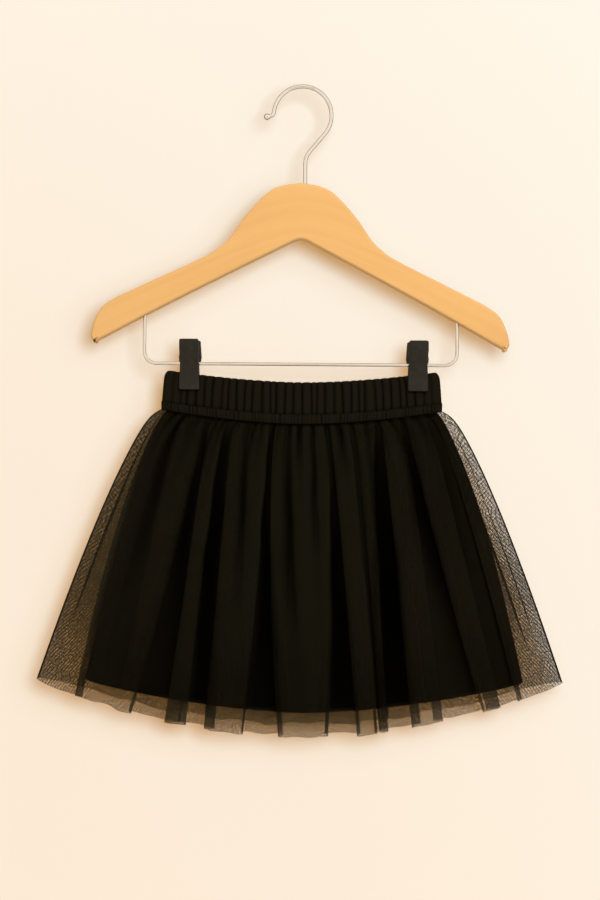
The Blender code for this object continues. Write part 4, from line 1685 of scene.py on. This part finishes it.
@dataclass
class NetPanel:
    """One panel of the tulle overlay: ridges with troughs folded in between them."""

    form: SkirtForm
    side: Side
    folds: Folds
    flat: tuple[float, float]
    rows: int = 104
    row_power: float = 1.25
    column_step: float = 1.9
    edge_run: float = 3.2
    turn: float = 0.7
    soft_run: float = 3.4
    ridge_swell: float = 0.05
    gather_height: float = 2.4
    gather_fall: float = 30.0
    seam_pinch: float = 0.30
    pinch_fall: float = 2.2
    ripple: float = 0.35
    side_lift: float = 4.0  # how far the back's hem is drawn up beside its seams
    fold_start: tuple = (0.02, 0.10)  # levels over which a fold's dark line comes in
    fold_fade: float = 6.0
    tucked_shade: float = 0.75
    first_ridge: float = 0.955  # share of the half width where the ridges start at the left

    def build(self, tulle: bpy.types.Material) -> bpy.types.Object:
        """Build the panel.

        Args:
            tulle: its material.

        Returns:
            The panel.
        """
        form = self.form
        levels = (np.arange(self.rows + 1) / self.rows) ** self.row_power
        sections = [self._section(level) for level in levels]
        basis, columns = self._basis(*sections[-1])
        rows, across = [], []
        marks = {name: [] for name in ("from_seam", "from_fold", "lit", "dense", "sheer")}
        for level, (controls, turns) in zip(levels, sections):
            x, sunk, tucked = (basis @ controls).T
            points = self._points(level, x, sunk)
            half = form.half(NET, level)
            drop = form.height(NET, 0.0, np.clip(x / half, -1.0, 1.0)) - points[:, 2]
            arc = measured(points)
            grown = float(smooth_step(level, *self.fold_start))
            blunt = 1.0 - np.array([grown * form.strength(trough, level) for _, trough in turns])
            apart = np.abs(arc[:, None] - arc[columns][None, :]) + blunt[None, :] * self.fold_fade
            lit = form.lit(self.folds, x, level, drop)
            # painted shade on the cloth tucked back under a ridge's edge
            marks["lit"].append(lit * (1.0 - self.tucked_shade * np.clip(tucked, 0.0, 1.0)))
            marks["from_seam"].append((half - np.abs(x)) * MM)
            marks["from_fold"].append(apart.min(axis=1) * MM)
            marks["dense"].append(form.dense(self.folds, x, points[:, 2], level))
            marks["sheer"].append(form.sheer(x, points[:, 2], level))
            rows.append(points)
            across.append(arc - arc[-1] / 2)
        points = np.array(rows)
        fall = measured(points)
        threads = np.stack([across, fall], axis=2) * MM
        piece = open_sheet(f"net_{self.side.word}", points, self.side, threads)
        for name, values in marks.items():
            add_mark(piece.data, name, np.array(values))
        dress(piece, tulle, f"overlay_{self.side.word}")
        declare_sheet(piece, 2 * across[-1][-1], fall[-1].mean())
        return piece

    def _section(self, level: float) -> tuple[np.ndarray, list[tuple[int, Trough]]]:
        """Control points across the panel, and where the cloth turns sharply.

        Args:
            level: share of the way down.

        Returns:
            Rows of x from the middle, depth share and how far tucked under, and the number
            of each turning point with its trough.
        """
        form = self.form
        half = form.half(NET, level)
        points: list[tuple[float, float, float]] = []
        turns: list[tuple[int, Trough]] = []
        last_edge = -half * self.first_ridge
        for trough in self.folds.troughs:
            depth = form.trough_depth(trough, level)
            left, right = (line and form.line_x(line, level) for line in (trough.left, trough.right))
            if left is None:
                points += [(-half * share, depth, 0.0) for share in reversed(SEAM_SHARES)]
                points.append(((right - half * SEAM_SHARES[0]) / 2, depth, 0.0))
            else:
                swell = self.ridge_swell * min(1.0, abs(left - last_edge) / 30.0) * min(1.0, level * 3.0)
                points += [(last_edge + (left - last_edge) * share, -swell, 0.0) for share in (0.35, 0.65)]
                self._add_edge(points, turns, trough, left, 1, level)
            if right is None:
                points.append(((left + half * SEAM_SHARES[0]) / 2, depth, 0.0))
                points += [(half * share, depth, 0.0) for share in SEAM_SHARES]
                break
            if left is not None:
                points.append(((left + right) / 2, depth + 0.03 * form.strength(trough, level), 0.0))
            self._add_edge(points, turns, trough, right, -1, level)
            last_edge = right
        return np.array(points), turns

    def _add_edge(
        self, points: list, turns: list, trough: Trough, x: float, inward: int, level: float
    ) -> None:
        """Add the control points over a ridge's edge and down to a trough's floor, left to right.

        Args:
            points: the points so far.
            turns: the turning points so far.
            trough: the trough beside the edge.
            x: the edge.
            inward: 1 where the trough lies right of the ridge, or -1.
            level: share of the way down.
        """
        form = self.form
        depth = form.trough_depth(trough, level)
        narrow = (0.3 + 0.7 * float(smooth_step(level, 0.0, 0.35))) * form.strength(trough, level)
        size = trough.tucks[0 if inward > 0 else 1]
        if not size:
            run = self.soft_run * narrow * inward
            edge = [(x - run, 0.0, 0.0), (x, depth * 0.2, 0.0), (x + run * 0.5, depth * 0.85, 0.0)]
        else:
            turns += [(len(points) + 2, trough), (len(points) + 6, trough)]
            turn, run = self.turn * narrow * inward, self.edge_run * narrow * inward
            back = form.tuck(size, trough, level) * inward
            edge = [
                (x - run, 0.0, 0.0),
                (x - turn, 0.0, 0.0),
                (x + turn * 0.6, depth * 0.08, 0.0),
                (x - turn, depth * 0.26, 0.6),
                (x - back * 0.5, depth * 0.42, 1.0),
                (x - back + turn, depth * 0.60, 1.0),
                (x - back - turn * 0.6, depth * 0.80, 1.0),
                (x - back + turn, depth * 0.96, 0.7),
                (x + turn * 1.8, depth, 0.0),
            ]
        points += edge[::inward]

    def _basis(self, hem: np.ndarray, turns: list[tuple[int, Trough]]) -> tuple[np.ndarray, np.ndarray]:
        """Weights of the control points at each column, and the columns where the cloth turns.

        Args:
            hem: the control points at the hem.
            turns: the number of each turning point with its trough.

        Returns:
            Columns by control points, and the turning columns.
        """
        count = len(hem)
        places = []
        for number in range(1, count - 2):
            length = abs(hem[number + 1, 0] - hem[number, 0])
            pieces = max(2, math.ceil(length / self.column_step))
            places += [number + part / pieces for part in range(pieces)]
        places.append(count - 2)
        places = np.array(places)
        basis = np.zeros((len(places), count))
        for column, place in enumerate(places):
            number = min(int(place), count - 3)
            s = place - number
            weights = ((1 - s) ** 3, 3 * s**3 - 6 * s**2 + 4, -3 * s**3 + 3 * s**2 + 3 * s + 1, s**3)
            for shift, weight in zip((-1, 0, 1, 2), weights):
                basis[column, number + shift] += weight / 6.0
        return basis, np.array([int(np.argmin(np.abs(places - number))) for number, _ in turns])

    def _points(self, level: float, x: np.ndarray, sunk: np.ndarray) -> np.ndarray:
        """Points across the panel.

        Args:
            level: share of the way down.
            x: places from the middle.
            sunk: depth share at each.

        Returns:
            The points.
        """
        form = self.form
        half = form.half(NET, level)
        share = np.clip(x / half, -1.0, 1.0)
        aside = np.abs(share)
        oval = np.sqrt(np.maximum(1.0 - share**2, 0.0))
        away = form.waist.seam_gap + form.depth(NET, self.side, level) * oval * (1.0 - sunk)
        z = form.height(NET, level, share)
        drop = np.maximum(form.height(NET, 0.0, share) - z, 0.0)
        puff = 1.0 - form.nip(self.folds, share * NET.top_half, drop)
        size = self.gather_height * (0.75 + 0.25 * uneven(share * 23.0, 1.1))
        away = away + size * (puff - 0.5) * np.exp(-((drop / self.gather_fall) ** 1.5)) * oval**0.5
        away = away * (1.0 - self.seam_pinch * np.exp(-((drop / self.pinch_fall) ** 2)))
        ripple = self.ripple * uneven(share * 60.0 + level * 3.0, 0.3) * level**2 * oval
        lift = self.side_lift * aside**3 * (1.0 - aside**8) * level**3 if self.side is Side.BACK else 0.0
        wave = form.hem_wave * (1.0 + uneven(share * 15.0, 0.8)) * level**14 * oval
        z = z + lift + form.seam_rise(level) + wave
        return np.stack([form.waist.centre_x + x, self.side.value * (away + ripple), z], axis=1)


@dataclass
class LiningPanel:
    """One panel of the opaque lining, which keeps inside the net's troughs."""

    form: SkirtForm
    side: Side
    folds: Folds
    flat: tuple[float, float]
    rows: int = 70
    columns: int = 330
    wall: float = 0.45
    top_clearance: float = 1.6
    hem_clearance: float = 3.0
    margin: float = 2.0
    ramp: float = 5.0
    hem_drop: float = 0.17

    def build(self, weave: bpy.types.Material) -> bpy.types.Object:
        """Build the panel.

        Args:
            weave: its material.

        Returns:
            The panel.
        """
        spread = np.linspace(-1.0, 1.0, self.columns + 1)
        share = np.sin(spread * math.pi / 2) * 0.25 + spread * 0.75
        levels = np.arange(self.rows + 1) / self.rows
        made = [self._row(level, share) for level in levels]
        points = np.array([row for row, _ in made])
        fall = measured(points)
        threads = np.stack([points[..., 0], fall], axis=2) * MM
        piece = open_sheet(f"lining_{self.side.word}_cloth", points, self.side, threads)
        add_mark(piece.data, "lit", np.array([lit for _, lit in made]))
        apply_modifier(piece, "SOLIDIFY", thickness=self.wall * MM, offset=-1.0, use_even_offset=False)
        dress(piece, weave, f"lining_{self.side.word}")
        declare_sheet(piece, measured(points[-1])[-1], fall[-1].mean())
        return piece

    def _row(self, level: float, share: np.ndarray) -> tuple[np.ndarray, np.ndarray]:
        """Points across the panel at a level.

        Args:
            level: share of the way down.
            share: places across the panel, from -1 to 1.

        Returns:
            The points, and the painted shade at each: how much of its tone the cloth shows.
        """
        form = self.form
        x = share * form.half(LINING, level) + form.lining_middle(level)
        above = level * form.lining_reach
        net_half = form.half(NET, above)
        sunk = np.zeros_like(x)
        for trough in self.folds.troughs:
            left, right = -FAR_AWAY, FAR_AWAY
            if trough.left is not None:
                left = form.line_x(trough.left, above) - form.tuck(trough.tucks[0], trough, above)
                left -= self.margin
            if trough.right is not None:
                right = form.line_x(trough.right, above) + form.tuck(trough.tucks[1], trough, above)
                right += self.margin
            inside = smooth_step(x, left - self.ramp, left + 0.5)
            inside = inside * (1.0 - smooth_step(x, right - 0.5, right + self.ramp))
            sunk = np.maximum(sunk, form.trough_depth(trough, above) * inside)
        net_oval = np.sqrt(np.maximum(1.0 - (x / net_half) ** 2, 0.0))
        clearance = self.top_clearance + (self.hem_clearance - self.top_clearance) * math.sqrt(level)
        under_net = form.depth(NET, self.side, above) * net_oval * (1.0 - sunk) - clearance
        own = form.depth(LINING, self.side, level) * np.sqrt(np.maximum(1.0 - share**2, 0.0))
        away = form.waist.seam_gap + np.maximum(np.minimum(under_net, own), 0.0) + 0.05
        z = form.height(LINING, level, share) + form.seam_rise(level)
        z = z - self.hem_drop * level**4 * (own - np.minimum(under_net, own))
        lit = form.lit(self.folds, x, above, form.height(LINING, 0.0, share) - z)
        return np.stack([form.waist.centre_x + x, self.side.value * away, z], axis=1), lit


# ---------------------------------------------------------------------------
# Stage


@dataclass
class Stage:
    """A pale bowl all round, soft lamps and the camera."""

    bowl_radius: float = 2.4
    bowl_centre: tuple = (0.0, 0.0, -0.27)
    shade_colour: Colour = (0.500, 0.230, 0.030)
    lit_colour: Colour = (0.0372, 0.0492, 0.0542)
    # painted light: the bowl's tints at its lower left and at its upper right
    dim_tint: Colour = (0.970, 0.905, 0.845)
    bright_tint: Colour = (1.015, 1.065, 1.115)
    camera_place: tuple = (0.0, -1.25, -0.3012)
    camera_roll: float = -0.45
    lens: float = 60.0
    sensor: float = 36.0
    lamps: tuple = ((0.0105, 0.0095, 0.013, 4400.0), (0.0180, 0.0130, 0.038, 1940.0))
    lamp_cone: float = 128.0
    lamp_blend: float = 0.35
    keys: tuple = (("key", (0.45, -1.45, 0.70), 31.0), ("back_key", (-0.95, 1.35, 0.75), 24.0))
    key_size: float = 0.70
    key_colour: Colour = (1.0, 0.96, 0.90)
    card_colour: Colour = (0.10, 0.07, 0.045)
    card_reach: float = 1.15
    card_y: float = 0.62
    card_size: tuple = (2.3, 1.1, 1.0)

    def build(self) -> None:
        """Build the bowl, the lamps and the camera."""
        bowl = self._bowl()
        self._cards()
        stage_only = bpy.data.collections.new("stage_only")
        stage_only.objects.link(bowl)
        all_but_stage = bpy.data.collections.new("all_but_stage")
        all_but_stage.objects.link(bowl)
        all_but_stage.collection_objects[0].light_linking.link_state = "EXCLUDE"
        for side in Side:
            self._wall_lamps(side, stage_only)
        self._keys(all_but_stage)
        self._camera()
        self._world()
        bpy.context.scene.view_settings.view_transform = "Standard"

    def _bowl(self) -> bpy.types.Object:
        """The pale bowl."""
        deselect()
        bpy.ops.mesh.primitive_uv_sphere_add(
            segments=96, ring_count=48, radius=self.bowl_radius, location=self.bowl_centre
        )
        bowl = bpy.context.object
        bowl.name = "bowl"
        edit_all()
        bpy.ops.mesh.flip_normals()
        leave_edit()
        bpy.ops.object.shade_smooth()
        settle(bowl)
        graph = Graph("bowl_paint")
        x, _, z = graph.parts(graph.place())
        # painted light on the bowl: both its colours pale towards the upper right, and its glow, which also
        # lights the object, dims towards the bottom
        low = graph.step(z, -2.3, -1.5, 0.62, 1.0)
        slope = graph.step(x + z, -3.2, 2.6)
        tints = []
        for colour in (self.shade_colour, self.lit_colour):
            ends = [tuple(map(float.__mul__, colour, tint)) for tint in (self.dim_tint, self.bright_tint)]
            tints.append(graph.mix(slope, *ends))
        glow = graph.add("ShaderNodeEmission", None, {"Color": tints[0], "Strength": low})
        matt = graph.add("ShaderNodeBsdfDiffuse", None, {"Color": tints[1]})
        both = graph.add("ShaderNodeAddShader", None, {0: glow.outputs[0], 1: matt.outputs[0]})
        graph.add("ShaderNodeOutputMaterial", None, {0: both.outputs[0]})
        bowl.data.materials.append(graph.material)
        return bowl

    def _cards(self) -> None:
        """Dark cards beside, above and below, which only the steel and the lacquer mirror."""
        graph = Graph("card_paint")
        glow = graph.add("ShaderNodeEmission", None, {"Color": (*self.card_colour, 1.0), "Strength": 1.0})
        graph.add("ShaderNodeOutputMaterial", None, {0: glow.outputs[0]})
        for number in range(4):
            deselect()
            angle = number * 0.5 * math.pi
            x, z = self.card_reach * math.sin(angle), self.card_reach * math.cos(angle)
            place = (x, self.card_y, self.bowl_centre[2] + z)
            bpy.ops.mesh.primitive_plane_add(size=1.0, location=place, rotation=(0.0, angle, 0.0))
            card = bpy.context.object
            card.name = f"card_{number}"
            card.scale = self.card_size
            card.data.materials.append(graph.material)
            card.visible_camera = card.visible_diffuse = card.visible_shadow = False
            card.visible_transmission = card.visible_volume_scatter = False

    def _wall_lamps(self, side: Side, lights: bpy.types.Collection) -> None:
        """Small lamps that throw the object's soft shadow on the bowl.

        Args:
            side: the side they stand on.
            lights: what they light.
        """
        _, behind, level = self.camera_place
        for number, (right, up, radius, watts) in enumerate(self.lamps):
            data = bpy.data.lights.new(f"wall_lamp_{side.word}_{number}", "SPOT")
            data.energy = watts
            data.shadow_soft_size = radius
            data.spot_size = math.radians(self.lamp_cone)
            data.spot_blend = self.lamp_blend
            place = (-side.value * right, side.value * -behind, level + up)
            self._lamp(data, place, (math.pi / 2, 0.0, 0.0 if side is Side.FRONT else math.pi), lights)

    def _keys(self, lights: bpy.types.Collection) -> None:
        """Soft lamps aimed at the object.

        Args:
            lights: what they light.
        """
        for name, place, watts in self.keys:
            data = bpy.data.lights.new(name, "AREA")
            data.energy = watts
            data.size = self.key_size
            data.color = self.key_colour
            aim = Vector(self.bowl_centre) - Vector(place)
            self._lamp(data, place, aim.to_track_quat("-Z", "Y").to_euler(), lights)

    def _lamp(
        self, data: bpy.types.Light, place: tuple, turn: Sequence[float], lights: bpy.types.Collection
    ) -> None:
        """Stand a lamp that isn't seen itself.

        Args:
            data: the lamp's settings.
            place: where it stands.
            turn: its rotation.
            lights: what it lights.
        """
        lamp = link(bpy.data.objects.new(data.name, data))
        lamp.location = place
        lamp.rotation_euler = turn
        lamp.visible_camera = lamp.visible_glossy = False
        lamp.light_linking.receiver_collection = lights

    def _camera(self) -> None:
        """The camera, level with the object's middle."""
        data = bpy.data.cameras.new("camera")
        data.lens = self.lens
        data.sensor_width = self.sensor
        camera = link(bpy.data.objects.new("camera", data))
        camera.location = self.camera_place
        camera.rotation_euler = (math.pi / 2, math.radians(self.camera_roll), 0.0)
        bpy.context.scene.camera = camera

    def _world(self) -> None:
        """A plain world behind the bowl."""
        world = bpy.data.worlds.new("world")
        world.use_nodes = True
        world.node_tree.nodes["Background"].inputs["Strength"].default_value = 0.0
        bpy.context.scene.world = world


def build_hanger(steel: bpy.types.Material) -> list[str]:
    """Build the hook, the yoke, the bar and the clips.

    Args:
        steel: the wire's material.

    Returns:
        Names of the clips' plates.
    """
    hook, bar = WireHook(), ClipBar()
    hook.build(steel)
    bar.build(steel)
    Yoke().build(LacqueredWood().material(), hook, bar)
    plastic = BlackPlastic().material()
    plates = []
    for clip in (Clip("left", -92.5), Clip("right", 97.7)):
        plates += [piece.name for piece in clip.build(plastic, steel, bar)[:2]]
    return plates


def build_skirt(plates: Sequence[str]) -> None:
    """Build the waistband, the channel, the lining and the net.

    Args:
        plates: names of the clips' plates that hold it.
    """
    waist = Waist()
    form = SkirtForm(waist)
    knit, weave, tulle = RIB_KNIT.material(), LINING_WEAVE.material(), Tulle().material()
    for side, folds in FOLDS.items():
        Waistband(waist).build(side, knit, [name for name in plates if side.word in name])
        Channel(waist).build(side, knit)
        lining_flat, net_flat = CUTS[side]
        LiningPanel(form, side, folds, lining_flat).build(weave)
        NetPanel(form, side, folds, net_flat).build(tulle)


def main() -> None:
    """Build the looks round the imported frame."""
    logging.basicConfig(level=logging.INFO, format="%(name)s: %(message)s")
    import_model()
    deselect()
    plates = build_hanger(BrightSteel().material())
    build_skirt(plates)
    Stage().build()
    bpy.context.view_layer.update()


if __name__ == "__main__":
    main()
